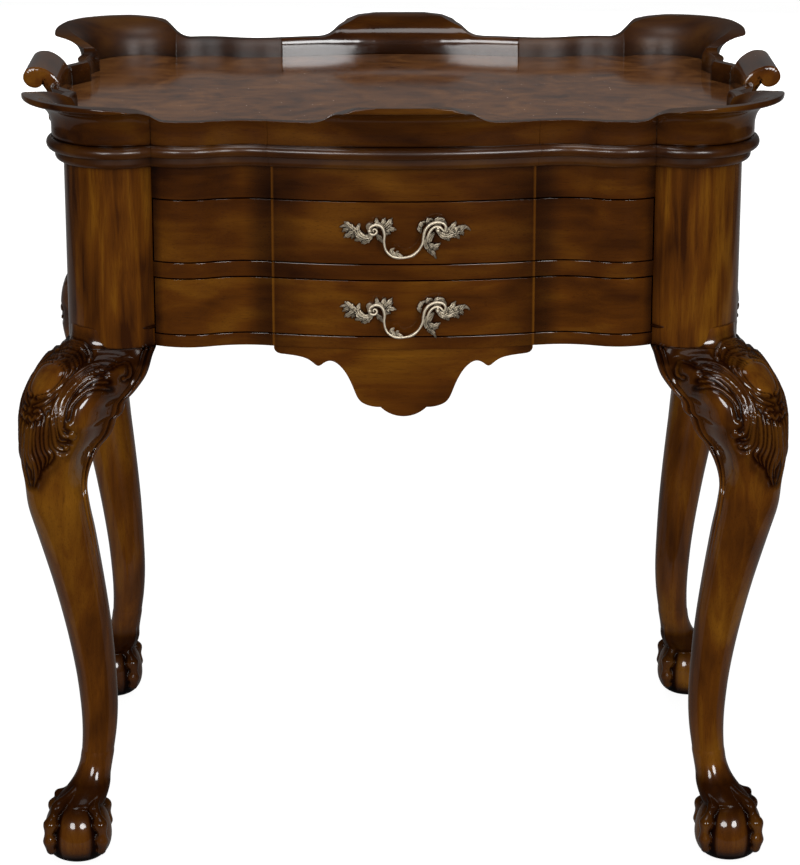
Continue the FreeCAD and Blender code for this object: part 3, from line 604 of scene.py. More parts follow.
@dataclass(frozen=True)
class ScrollHandle:
    """A handle rolled outward over the middle of an end."""

    half: float = 44.0
    roll: Point = (27.4, 749.8)
    straight_above: Point = (734.0, 746.0)   # the foot follows the bay, the roll is straight
    radius: float = 10.5
    roll_turn: Point = (86.0, -168.0)        # where the roll starts and ends, in degrees
    roll_points: int = 17
    rounding: tuple = (0.0, 1.2, 4.0, 14.0, 28.0)   # places of the sections from each end
    crease: float = 0.55
    # the arm's upper line from the tray up to the roll, and its lower line back down
    upper: tuple = (
        (2, 718), (2, 732), (1.6, 741), (3.4, 748.2), (9.6, 754.6), (16, 758.6), (22.2, 760.6),
    )
    lower: tuple = ((17.2, 750), (15.6, 753.4), (13, 750.8), (10.8, 744.6), (10.4, 732), (10.4, 718))

    def section(self) -> np.ndarray:
        """Closed section of the handle as offset and height.

        Returns:
            Rows of offset and height.
        """
        turn = np.linspace(*np.radians(self.roll_turn), self.roll_points)
        roll = np.column_stack([self.roll[0] + self.radius * np.cos(turn),
                                self.roll[1] + self.radius * np.sin(turn)])
        return np.vstack([np.array(self.upper), roll, np.array(self.lower)])

    def build(self, finish: bpy.types.Material) -> None:
        """Build the two handles.

        Args:
            finish: The finish they get.
        """
        section = self.section()
        near = [self.half - d for d in self.rounding]
        sagitta = PLAN.bay_rise / PLAN.bay_half ** 2
        front = PLAN.half_width + PLAN.bay_proud + PLAN.bay_rise
        curved = np.interp(section[:, 1], self.straight_above, (1.0, 0.0))
        rows = [np.column_stack([-(front + section[:, 0] - sagitta * y * y * curved),
                                 np.full(len(section), y), section[:, 1]])
                for y in (*(-y for y in near), 0.0, *near[::-1])]
        for side, flip_x in SIDES:
            swept_piece("scroll_handle_" + side, rows, (flip_x, False), self.crease,
                        "gallery_" + side, finish)


# ---------------------------------------------------------------- legs
@dataclass(frozen=True)
class Stroke:
    """One carved rib, as points inward of the foot centre and below the case."""

    path: tuple
    width: float = 1.9
    height: float = 1.9
    start: float = 0.12          # share of its length over which it grows
    end: float = 0.25
    knob: float = 0.0            # radius of the curled end
    knob_rise: float = 1.25      # the curled end's height as a share of the rib's
    blunt: float = 0.25          # share of the height that a tip keeps
    crown: float = 1.2           # how sharp the rib's top is
    samples: int = 150
    thinner: Point = (0.75, 0.70)            # width and height of a rib between two, as shares

    def relief(self, places: np.ndarray) -> np.ndarray:
        """Height of the rib at each place.

        Args:
            places: Rows of inward distance and depth below the case.

        Returns:
            The heights.
        """
        line = smooth_line(self.path, self.samples)
        gaps = gaps_to(line, places)
        nearest = gaps.argmin(axis=1)
        t = nearest / (len(line) - 1)
        grow = np.clip(np.minimum(t / self.start, (1 - t) / self.end) + self.blunt, 0.0, 1.0)
        d = gaps[np.arange(len(places)), nearest]
        swell = np.cos(np.clip(d / (self.width * grow), 0, 1) * math.pi / 2) ** self.crown
        rib = self.height * np.sqrt(grow) * swell
        if self.knob:
            far = np.linalg.norm(places - np.array(self.path[-1]), axis=1) / self.knob
            rib = np.maximum(rib, self.knob_rise * self.height * np.sqrt(np.clip(1 - far ** 2, 0, 1)))
        return rib

    def between(self, other: "Stroke", share: float) -> "Stroke":
        """A thinner rib that runs between this one and another.

        Args:
            other: The other rib.
            share: Place between the two, from 0 to 1.

        Returns:
            The new rib.
        """
        first, second = (smooth_line(stroke.path, 12) for stroke in (self, other))
        path = tuple(map(tuple, first + (second - first) * share))
        width, height = self.thinner
        return Stroke(path, self.width * width, self.height * height, 0.3, 0.35)


@dataclass(frozen=True)
class KneeCarving:
    """Scrolled leaves round a smooth boss, the same on both faces of a knee."""

    sink: float = 1.9
    spread: float = 5.0
    worked_reach: float = 14.0   # how far the worked zone goes beyond a rib
    worked_fade: float = 6.0
    boss: float = 2.3
    boss_round: float = 7.0      # how far in from the rim the boss rounds off
    painted_darkness: float = 0.46          # how dark the zone round the ribs is painted, beside its ground
    clear_above: float = 1.2     # ground raised this far gets no painted shade
    rim: Stroke = Stroke(((-30, 30), (-22, 11), (-13, 2), (-5, 0), (4, 8), (4, 16), (-3, 27), (-13, 35),
                          (-24, 37)), 2.2, 2.3, 0.01, 0.02)
    crest: tuple = (
        Stroke(((-16, -4), (-7, -11), (4, -17), (14, -18), (21, -14), (26, -6), (26, -1)),
               1.9, 1.9, 0.1, 0.2, 2.2),
        Stroke(((-17, 0), (-8, -7), (3, -12), (13, -13), (19, -8), (22, 0)), 1.8, 1.7),
        Stroke(((-17, 2), (-7, -4), (3, -6), (10, -3), (14, 3), (15, 8)), 1.8, 1.7),
        Stroke(((-5, 0), (4, -2), (9, 2), (10, 10), (5, 19), (-3, 29), (-11, 36)), 1.8, 1.6),
    )
    swirl: tuple = (
        Stroke(((55, 4), (42, 2), (29, 4), (18, 11), (8, 21), (0, 33), (-5, 44), (-8, 56), (-7, 70), (-5, 85),
                (1, 90), (5, 88)), 2.1, 2.2, 0.08, 0.1, 2.6),
        Stroke(((49, 8), (38, 9), (27, 13), (16, 21), (7, 31), (1, 42), (-1, 53), (-1, 67), (3, 76),
                (11, 76)), 2.1, 2.2, 0.1, 0.05, 4.2),
        Stroke(((33, 16), (22, 21), (13, 30), (7, 40), (4, 48), (2, 60), (2, 69)), 1.8, 1.9),
        Stroke(((47, 30), (37, 28), (26, 30), (18, 36), (10, 46), (7, 59)), 1.9, 1.9, 0.15, 0.2, 0),
    )
    tail: tuple = (
        Stroke(((-11, 52), (-14, 70), (-14, 87), (-9, 96), (-12, 103)), 2, 1.8),
        Stroke(((-21, 61), (-23, 76), (-22, 90), (-18, 101), (-19, 109)), 2, 1.8),
        Stroke(((-28, 62), (-30, 76), (-31, 93), (-27, 105), (-26, 117), (-29, 127)), 2, 1.8),
        Stroke(((-33, 64), (-35, 81), (-34, 98), (-30, 110)), 2, 1.8),
    )
    extra: tuple = (
        Stroke(((54, 4), (62, 3), (65, 10), (64, 17), (59, 20)), 1.6, 1.5, 0.3, 0.2, 2.2),
        Stroke(((5, 26), (-6, 35), (-17, 43), (-27, 46)), 1.9, 1.8),
        Stroke(((40, 18), (30, 20), (22, 26), (15, 34)), 1.4, 1.2),
        Stroke(((46, 23), (36, 23), (27, 26)), 1.4, 1.2),
        Stroke(((-27, 52), (-22, 50), (-19, 54), (-22, 58)), 1.7, 1.6, 0.2, 0.1, 2.4),
        Stroke(((-32, 55), (-29, 60), (-25, 57)), 1.6, 1.5, 0.2, 0.1, 2),
    )

    def strokes(self) -> list[Stroke]:
        """Every rib, with the thin ones between neighbours.

        Returns:
            The ribs.
        """
        ribs = [self.rim, *self.crest, *self.swirl, *self.tail, *self.extra]
        for family in (self.crest[:3], self.swirl[:3], self.tail):
            ribs += [a.between(b, 0.5) for a, b in zip(family, family[1:])]
        return ribs

    def inside_rim(self, places: np.ndarray) -> np.ndarray:
        """Whether each place lies inside the rim round the boss.

        Args:
            places: Rows of inward distance and depth below the case.

        Returns:
            True for each place inside.
        """
        ring = np.vstack([smooth_line(self.rim.path, 60), [(-90, 37), (-90, 30)]])
        inside = np.zeros(len(places), bool)
        for (x0, y0), (x1, y1) in zip(ring, np.roll(ring, -1, axis=0)):
            crosses = (y0 > places[:, 1]) != (y1 > places[:, 1])
            if crosses.any():
                at = x0 + (places[:, 1] - y0) / (y1 - y0) * (x1 - x0)
                inside ^= crosses & (places[:, 0] < at)
        return inside

    def relief(self, places: np.ndarray) -> tuple[np.ndarray, np.ndarray, np.ndarray]:
        """Height raised, share sunk and painted darkness at each place.

        Args:
            places: Rows of inward distance and depth below the case.

        Returns:
            The three values for each place.
        """
        ribs = np.zeros(len(places))
        near = np.full(len(places), np.inf)
        for stroke in self.strokes():
            ribs = np.maximum(ribs, stroke.relief(places))
            near = np.minimum(near, gaps_to(smooth_line(stroke.path, 60), places).min(axis=1))
        from_rim = gaps_to(smooth_line(self.rim.path, 90), places).min(axis=1)
        round_off = np.clip((from_rim - self.rim.width) / self.boss_round, 0.0, 1.0)
        inside = self.inside_rim(places)
        dome = np.where(inside, self.boss * np.sqrt(round_off * (2 - round_off)), 0.0)
        ground = np.where(inside, 1.0, 1.0 - np.clip((near - 1.0) / self.spread, 0.0, 1.0) ** 2)
        raised = np.maximum(ribs, dome)
        # the zone round the ribs is painted darker, and the open ground between them gets painted shade
        worked = self.painted_darkness * np.clip((self.worked_reach - near) / self.worked_fade, 0.0, 1.0) * ~inside
        open_ground = np.clip(ground - raised / self.clear_above, 0.0, 1.0) * (near < self.worked_reach)
        painted_darkness = np.maximum(open_ground, worked)
        return raised, ground, painted_darkness


@dataclass(frozen=True)
class Leg:
    """A cabriole leg with shaped brackets, carved knee and claw foot."""

    foot: Point = (323.7, 218.7)
    height: float = 522.0
    ankle_z: float = 100.0
    square: float = 0.10         # how far the case end of the leg is from round
    square_from: Point = (0.62, 0.82)
    outermost: float = 44.2
    rise: float = 19.0           # how far the knee's crest laps the pillar
    # share of the height, and the section's outward and inward ends on the diagonal
    stations: tuple = (
        (1.0364, -2.7, -102.7), (1.000, 0, -76), (0.974, 20, -70), (0.945, 32, -63), (0.915, 40, -55),
        (0.882, 43.6, -48), (0.850, 44.2, -39), (0.812, 43.6, -28), (0.762, 39.2, -20),
        (0.710, 36.8, -21.8), (0.650, 29.6, -26.6), (0.545, 16.4, -33.2), (0.450, 6.3, -38),
        (0.365, -0.8, -40.4), (0.300, -4.2, -41.2), (0.250, -5.4, -39.8), (0.205, -4.6, -36.6),
        (0.150, -1.4, -32), (0.112, 3, -30),
    )
    # bracket edge: below the case, inward of the foot centre
    edge: tuple = (
        (0, 86.7), (8.4, 83.3), (21.4, 79.5), (31.3, 74.7), (44.2, 65.1), (51.2, 58.4), (56.1, 55.7),
        (64.1, 53.7), (70, 47.7), (76, 45.7), (83, 43.1), (89, 39.2), (98, 31.7), (113, 24.5),
        (131, 21.2), (160, 20),
    )
    face: float = 4.7            # bracket face inward of the foot centre
    face_end: Point = (-0.995, -0.10)        # direction in which the face leaves its tip
    bow: Point = (0.42, 0.30)    # how full the face is near the knee and near its tip
    thick: float = 26.0
    thins: tuple = (1.2, 90.0, 0.2)          # its share at the top, the depth that takes one off, the least
    tip_round: float = 1.2
    wing_fade: Point = (96.0, 146.0)         # depths over which the bracket runs out
    counts: tuple = (52, 58, 8, 12)     # points over the knee, bracket face, its edge and the back
    turns: tuple = (55, 125, 145)
    bead: float = 1.8
    # beads and quirks beside the bracket's edge: place, half width, height as a share of the bead
    beads: tuple = ((2.4, 2.6, 1), (7.2, 2.2, 0.7), (4.9, 1.2, -0.9), (9.9, 1.6, -0.8))
    bead_fade: Point = (125.0, 215.0)
    carve_to: float = 135.0      # the carving's lowest row
    carve_fade: Point = (126.0, 134.0)
    tilt: float = 0.31           # how far the carving slides down per depth behind the knee's front
    tilt_from: float = -33.0
    lap_sink: float = 2.2        # the crest's ground lies inside the pillar
    lap_rise: float = 1.6        # its ribs stand out of it
    side_tuck: float = 10.5      # the side bracket's top keeps inside the recessed side
    tuck_below: float = 26.0
    shade: float = 0.80          # painted shade under the pillar
    shade_fade: Point = (15.0, 24.0)
    shade_from: Point = (0.60, 0.75)         # shares of the way round the knee
    step_fine: float = 1.0
    step_coarse: float = 3.4
    fine_below: float = 160.0

    def sizes(self, z: float) -> tuple[float, float, float]:
        """Centre, radius and squareness of the section at a height.

        Args:
            z: Height of the section.

        Returns:
            The three values.
        """
        shares, outward, inward = smooth_line(self.stations, 400)[::-1].T
        share = z / self.height
        outer = float(np.interp(share, shares, outward))
        inner = float(np.interp(share, shares, inward))
        square = float(np.interp(share, self.square_from, (0.0, self.square)))
        return -(outer + inner) / 2, (outer - inner) / 2, square

    def round_points(self, z: float, betas: np.ndarray) -> np.ndarray:
        """Points of the plain section at angles from its outward corner.

        Args:
            z: Height of the section.
            betas: Angles in radians.

        Returns:
            Rows of inward x and inward y.
        """
        centre, radius, square = self.sizes(z)
        turn = betas - math.pi / 4
        reach = radius * (1 + square * (1 - np.cos(4 * turn)) / 2)
        return np.column_stack([centre + reach * np.sin(turn), centre - reach * np.cos(turn)])

    def half_ring(self, z: float, tuck: float = 0.0) -> np.ndarray:
        """Half a section from the outward corner round one face to the inner corner.

        Args:
            z: Height of the section.
            tuck: How far the bracket's tip lies in under the pillar at the top.

        Returns:
            Points (inward in x, inward in y).
        """
        first, second, third = np.radians(self.turns)
        n_knee, n_face, n_side, n_back = self.counts
        betas = np.concatenate([
            np.linspace(0, first, n_knee), np.linspace(first, second, n_face + 1)[1:],
            np.linspace(second, third, n_side + 1)[1:], np.linspace(third, math.pi, n_back + 1)[1:]])
        plain = self.round_points(z, betas)
        depth = self.height - z
        share = float(np.interp(depth, self.wing_fade, (1.0, 0.0)))
        share = share * share * (3 - 2 * share)
        if share == 0.0 or depth < -0.02:
            return plain
        centre, radius, _ = self.sizes(z)
        depths, tips = smooth_line(self.edge, 300).T
        tip = np.array([np.interp(depth, depths, tips),
                        self.face + tuck * max(0.0, 1.0 - depth / self.tuck_below)])
        at_top, over, least = self.thins
        thick = self.thick * min(1.0, max(least, at_top - depth / over))
        start, ahead = self.round_points(z, np.array([first, first + 0.02]))
        way = (ahead - start) / np.linalg.norm(ahead - start)
        run = np.linalg.norm(tip - start)
        t = np.linspace(0.0, 1.0, n_face + 1)[1:, None]
        t = t * 0.9 + 0.1 * t ** 2
        face = ((1 - t) ** 3 * start + 3 * (1 - t) ** 2 * t * (start + way * run * self.bow[0])
                + 3 * (1 - t) * t ** 2 * (tip + np.array(self.face_end) * run * self.bow[1]) + t ** 3 * tip)
        back = tip + (0.0, thick)
        r = self.tip_round
        side = along(np.array([tip, tip + (r, r), back + (r, -r), back]),
                     np.linspace(0, thick, n_side + 1)[1:])
        turn = 3 * math.pi / 4 + math.asin(min(0.9, max(-0.9, (back[1] - centre) / radius)))
        rear = np.vstack([back, self.round_points(z, np.linspace(turn, math.pi, 14))])
        rear = along(rear, np.linspace(0, length_of(rear), n_back + 1)[1:])
        winged = np.vstack([plain[:n_knee], face, side, rear])
        return plain + (winged - plain) * share

    def heights(self) -> np.ndarray:
        """Heights of the sections, close together over the knee.

        Returns:
            The heights from the top down.
        """
        low = self.height - self.fine_below
        fine = np.arange(self.height, low, -self.step_fine)
        crest = np.arange(self.height + self.rise, self.height, -self.step_fine)
        fine = np.concatenate([crest, [self.height + 0.05], fine])
        coarse = np.linspace(low, self.ankle_z, int((low - self.ankle_z) / self.step_coarse))
        return np.concatenate([fine, coarse])

    def moulding(self, halves: np.ndarray, depths: np.ndarray) -> np.ndarray:
        """Two beads that follow the bracket's edge.

        Args:
            halves: Half a section for each height.
            depths: Depths of the sections below the case.

        Returns:
            How far each point stands out.
        """
        tip = self.counts[0] + self.counts[1] - 1
        run = np.array([run_of(half) for half in halves])
        from_edge = run[:, tip:tip + 1] - run
        profile = sum(self.bead * share * np.cos(np.clip((from_edge - at) / half, -1, 1) * math.pi / 2) ** 2
                      for at, half, share in self.beads)
        fade = np.interp(depths, self.bead_fade, (1.0, 0.0))
        return profile * (fade * (depths >= 0.0))[:, None]

    def shank(self, carving: KneeCarving) -> tuple[np.ndarray, list, np.ndarray]:
        """The whole leg above the ankle, as rings.

        Args:
            carving: The knee's carving.

        Returns:
            Points (inward in x, inward in y, height), faces and how dark each point is painted: shade under
            the pillar and darkness in the carving.
        """
        levels = self.heights()
        depths = self.height - levels
        halves = np.array([self.half_ring(z) for z in levels])
        sides = np.array([self.half_ring(z, self.side_tuck) for z in levels])
        full = np.concatenate([halves, sides[:, -2:0:-1, ::-1]], axis=1)
        points = np.concatenate([full, np.broadcast_to(levels[:, None, None], (*full.shape[:2], 1))], axis=2)
        around = np.roll(points, -1, axis=1) - np.roll(points, 1, axis=1)
        normals = np.cross(around, np.gradient(points, axis=0))
        normals /= np.maximum(np.linalg.norm(normals, axis=2, keepdims=True), 1e-9)
        normals *= np.sign(-normals[0, 0, 0])
        raise_by = self.moulding(halves, depths)
        rows = int(np.searchsorted(depths, self.carve_to))
        cols = self.counts[0] + self.counts[1] - 4
        behind = halves[:rows, :cols, 1] - self.tilt_from
        places = np.stack([halves[:rows, :cols, 0], depths[:rows, None] - self.tilt * behind], axis=2)
        raised, sunk, carving_darkness = (values.reshape(rows, cols) for values in carving.relief(places.reshape(-1, 2)))
        fade = np.interp(depths[:rows], self.carve_fade, (1.0, 0.0))[:, None]
        lap = depths < 0.0
        raise_by[lap] = -self.lap_sink
        raise_by[:rows, :cols] += np.where(lap[:rows, None], self.lap_rise * raised,
                                           (raised - carving.sink * sunk) * fade)
        raise_by[0] = -self.lap_sink
        # painted shade under the pillar, on the knee's sides away from its front
        under = self.shade * np.interp(depths, self.shade_fade, (1.0, 0.0))
        beyond = np.interp(np.arange(halves.shape[1]) / self.counts[0], self.shade_from, (0.0, 1.0))
        ground = under[:, None] * beyond
        ground[:rows, :cols] = np.maximum(ground[:rows, :cols], carving_darkness * fade)
        raise_by, ground = (np.concatenate([f, f[:, -2:0:-1]], axis=1) for f in (raise_by, ground))
        points += normals * raise_by[:, :, None]
        points[:, :, :2] = np.maximum(points[:, :, :2], -self.outermost)
        return points.reshape(-1, 3), tube_faces(*full.shape[:2]), ground.reshape(-1)

    def place(self, name: str, mesh: tuple[np.ndarray, list, np.ndarray], where: str,
              flips: tuple[bool, bool], finish: bpy.types.Material) -> None:
        """Put a copy of a mesh, with how darkly each point is painted, at one corner.

        Args:
            name: Start of the piece's name.
            mesh: Points, faces and painted darkness.
            where: The corner, such as front_left.
            flips: Whether it is mirrored in x and in y.
            finish: The finish it gets.
        """
        points, faces, ground = mesh
        piece = mesh_piece(f"{name}_{where}", *flipped(points - (*self.foot, 0.0), faces, *flips))
        # the 'ground' attribute carries the painted shade and darkness to the finish
        layer = piece.data.attributes.new("ground", "FLOAT", "POINT")
        layer.data.foreach_set("value", ground.astype(np.float32))
        dress(piece, finish)
        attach(piece, BODY)
        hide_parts("leg_" + where, "knee_brackets_" + where)


@dataclass(frozen=True)
class ClawFoot:
    """A ball gripped by four claws under the ankle."""

    voxel: float = 0.95
    # each claw from the ankle down: reach from the ball's axis, height, radius
    claw: tuple = (
        (25, 58, 6.2), (30.4, 50.2, 4.2), (34.8, 42, 7.4), (37.2, 33.6, 4.5), (36.4, 25.4, 6.9),
        (36, 18.6, 4.9), (34.2, 14, 4.9), (33.4, 11, 3),
    )
    # tendons down the ankle: share of the way to the claw, height, radius
    tendon: tuple = ((0, 91, 1.4), (0.06, 81, 3), (0.30, 71, 4.2), (0.64, 63.5, 5.2))
    # webbing over the ball: height, centre's inward offset, radius
    cuff: tuple = (
        (118, 0, -1.2), (108, 0, -0.3), (102, 0, 0.5), (92, -0.4, 0.8), (81, -1.8, 2.2), (72, -3.5, 4.6),
        (65, -6.2, 6.4), (60, -9, 7.8), (56.5, -10.4, 7.8), (50, -11.4, 3.4),
    )
    # the ball's outline: distance from its axis, height
    outline: tuple = (
        (2, 0), (17, 0), (22.5, 1.2), (28, 5.5), (31.6, 12), (33.2, 19), (33.4, 25.5), (32.4, 34),
        (30, 42.5), (25.5, 51), (17, 59.5), (8, 64), (2, 64.8),
    )
    cuff_from: float = 60.0      # the leg's section below it, which the webbing keeps
    tendon_sink: float = 2.2
    skin: float = 0.9            # how far outside the ball a point still counts as the ball's
    # painted shade and darkness: height and darkness of the grip, and of the ball between the claws
    grip: tuple = ((0, 0.9), (8, 0.35), (38, 0.30), (54, 0.85), (74, 0.85), (92, 0))
    field: tuple = ((0, 1), (7, 0.7), (14, 0), (36, 0.15), (56, 0.85))
    beside_claw: Point = (15.0, 23.0)        # degrees over which the painted shade beside a claw fades

    def tube(self, spine: np.ndarray, across: np.ndarray, sides: int = 16) -> tuple[np.ndarray, list]:
        """Round tube whose spine rows are x, y, z and radius.

        Args:
            spine: Rows of x, y, z and radius.
            across: A direction square to the spine.
            sides: Points in a section.

        Returns:
            Points and faces.
        """
        other = np.cross(headings(spine[:, :3]), across)
        turn = circle(sides)
        rows = (spine[:, None, :3] + spine[:, None, 3:] * (np.cos(turn)[None, :, None] * across
                + np.sin(turn)[None, :, None] * other[:, None, :]))
        return rows.reshape(-1, 3), tube_faces(len(spine), sides)

    def parts(self, leg: Leg) -> list:
        """Closed parts that overlap: ball, ankle with webbing, and claws.

        Args:
            leg: The leg that ends in this foot.

        Returns:
            Pairs of points and faces.
        """
        turn = circle(48)
        ball = [[(r * math.cos(a), r * math.sin(a), z) for a in turn]
                for r, z in smooth_line(self.outline, 48)]
        ankle = []
        for z, shift, swell in smooth_line(self.cuff, 40):
            centre, radius, _ = leg.sizes(max(z, self.cuff_from))
            centre += shift
            radius += swell
            ankle.append([(centre + radius * math.cos(a), centre + radius * math.sin(a), z) for a in turn])
        parts = [(np.array(rows).reshape(-1, 3), tube_faces(len(rows), len(turn))) for rows in (ball, ankle)]
        top, wide, _ = leg.sizes(self.tendon[0][1])
        for angle in circle(4) + math.pi / 4:
            way = np.array([math.cos(angle), math.sin(angle)])
            start = np.array([top, top]) + way * (wide - self.tendon_sink)
            first = way * self.claw[0][0]
            knots = [(*(start + (first - start) * share), z, r) for share, z, r in self.tendon]
            knots += [(*(way * reach), z, r) for reach, z, r in self.claw]
            parts.append(self.tube(smooth_line(knots, 70), np.array([-way[1], way[0], 0.0])))
        return parts

    def mesh(self, leg: Leg) -> tuple[np.ndarray, list, np.ndarray]:
        """Fuse the parts and smooth the joins.

        Args:
            leg: The leg that ends in this foot.

        Returns:
            Points in millimetres, faces and painted darkness.
        """
        rough = mesh_piece("rough_foot", *gathered(self.parts(leg)))
        remesh = rough.modifiers.new("fuse", "REMESH")
        remesh.mode = "VOXEL"
        remesh.voxel_size = self.voxel * MM
        soften = rough.modifiers.new("soften", "SMOOTH")
        soften.factor = 0.5
        soften.iterations = 2
        depsgraph = bpy.context.evaluated_depsgraph_get()
        mesh = bpy.data.meshes.new_from_object(rough.evaluated_get(depsgraph))
        found = np.empty(len(mesh.vertices) * 3)
        mesh.vertices.foreach_get("co", found)
        found = found.reshape(-1, 3) / MM
        found[:, 2] = np.maximum(found[:, 2], 0.0)
        quads = [tuple(p.vertices) for p in mesh.polygons]
        bpy.data.objects.remove(rough)
        return found, quads, self.painted_darkness(found)

    def painted_darkness(self, points: np.ndarray) -> np.ndarray:
        """How darkly each point is painted: painted shade low down, beside the claws and under the webbing;
        the tendons and webbing darkest, the ball's sides least.

        Args:
            points: Rows of x, y, z.

        Returns:
            A share from 0 to 1 for each point.
        """
        x, y, z = points.T
        ball = np.interp(z, *np.array(self.outline[1:]).T[::-1])
        from_claw = np.abs(np.degrees(np.arctan2(y, x)) % 90.0 - 45.0)
        beside = np.interp(from_claw, self.beside_claw, (1.0, 0.0))
        on_ball = (np.hypot(x, y) < ball + self.skin) & (z < self.cuff_from)
        return np.where(on_ball, np.maximum(beside, np.interp(z, *np.array(self.field).T)),
                        np.interp(z, *np.array(self.grip).T))


@dataclass(frozen=True)
class Legs:
    """The four legs."""

    leg: Leg = Leg()
    foot: ClawFoot = ClawFoot()
    carving: KneeCarving = KneeCarving()

    def build(self, finish: bpy.types.Material) -> None:
        """Build the four legs from one carved leg and one foot.

        Args:
            finish: The finish they get.
        """
        carved = self.leg.shank(self.carving)
        foot = self.foot.mesh(self.leg)
        for end, flip_y in ENDS:
            for side, flip_x in SIDES:
                where = f"{end}_{side}"
                self.leg.place("carved_leg", carved, where, (flip_x, flip_y), finish)
                self.leg.place("claw_foot", foot, where, (flip_x, flip_y), finish)
                LOG.info("built leg %s", where)


# ---------------------------------------------------------------- pulls
@dataclass(frozen=True)
class Leaf:
    """A cast leaf, as points across and above the middle of the pull."""

    spine: tuple
    half: float
    lobes: float = 0.0
    lift: float = 1.9
    rise: float = 2.6            # how far the root stands off the drawer
    tip: float = 0.3             # how far the tip stands off
    rows: int = 30
    cols: int = 15
    widths: Point = (0.16, 0.98)             # the root's half width, and what the middle adds
    scallop: Point = (0.74, 0.56)            # a lobe's width where it starts, and what it gains
    dome: Point = (0.30, 0.70)               # the rim's share of the lift, and what the middle adds
    veins: Point = (-0.85, 0.50)             # grooves either side of the rib, and the rib
    grooves_at: Point = (0.43, 0.16)         # the grooves' place and width
    rib_width: float = 0.18
    arch: Point = (0.55, 0.45)               # the ends' share of the lift, and what the middle adds
    end_width: float = 0.05
    thick: float = 0.6

    def grid(self) -> tuple[np.ndarray, np.ndarray, list]:
        """The leaf's face and back as x, z and height off the drawer, and its faces.

        Returns:
            Points of the face, points of the back, and the faces.
        """
        rows, cols = self.rows, self.cols
        line = smooth_line(self.spine, rows)
        way = headings(line)
        side = np.column_stack([-way[:, 1], way[:, 0]])
        t = np.linspace(0.0, 1.0, rows)
        bulge = np.sin(math.pi * np.clip(t, 0.03, 1) ** 0.74) ** 0.9
        width = self.half * (self.widths[0] + self.widths[1] * bulge)
        width *= self.scallop[0] + self.scallop[1] * ((self.lobes * t) % 1.0) if self.lobes else 1.0
        width[-1] = self.end_width * self.half
        across = np.linspace(-1.0, 1.0, cols)
        flat = line[:, None, :] + side[:, None, :] * (width[:, None] * across)[:, :, None]
        dome = self.dome[0] + self.dome[1] * (1 - np.abs(across) ** 2.2)
        vein = (self.veins[0] * np.exp(-((np.abs(across) - self.grooves_at[0]) / self.grooves_at[1]) ** 2)
                + self.veins[1] * np.exp(-(across / self.rib_width) ** 2))
        arch = self.arch[0] + self.arch[1] * np.sin(math.pi * t ** 0.7)
        height = self.lift * (dome + vein)[None, :] * arch[:, None]
        stand = self.rise + (self.tip - self.rise) * t
        face = np.dstack([flat, stand[:, None] + height])
        back = np.dstack([flat, np.broadcast_to(stand[:, None] - self.thick, flat.shape[:2])])
        count = rows * cols
        faces = grid_faces(rows, cols, False)
        faces += [tuple(count + i for i in reversed(f)) for f in grid_faces(rows, cols, False)]
        rim = ([(r, 0) for r in range(rows)] + [(rows - 1, c) for c in range(1, cols)]
               + [(r, cols - 1) for r in range(rows - 2, -1, -1)] + [(0, c) for c in range(cols - 2, 0, -1)])
        ids = [r * cols + c for r, c in rim]
        faces += [(a, b, count + b, count + a) for a, b in zip(ids, ids[1:] + ids[:1])]
        return face.reshape(-1, 3), back.reshape(-1, 3), faces


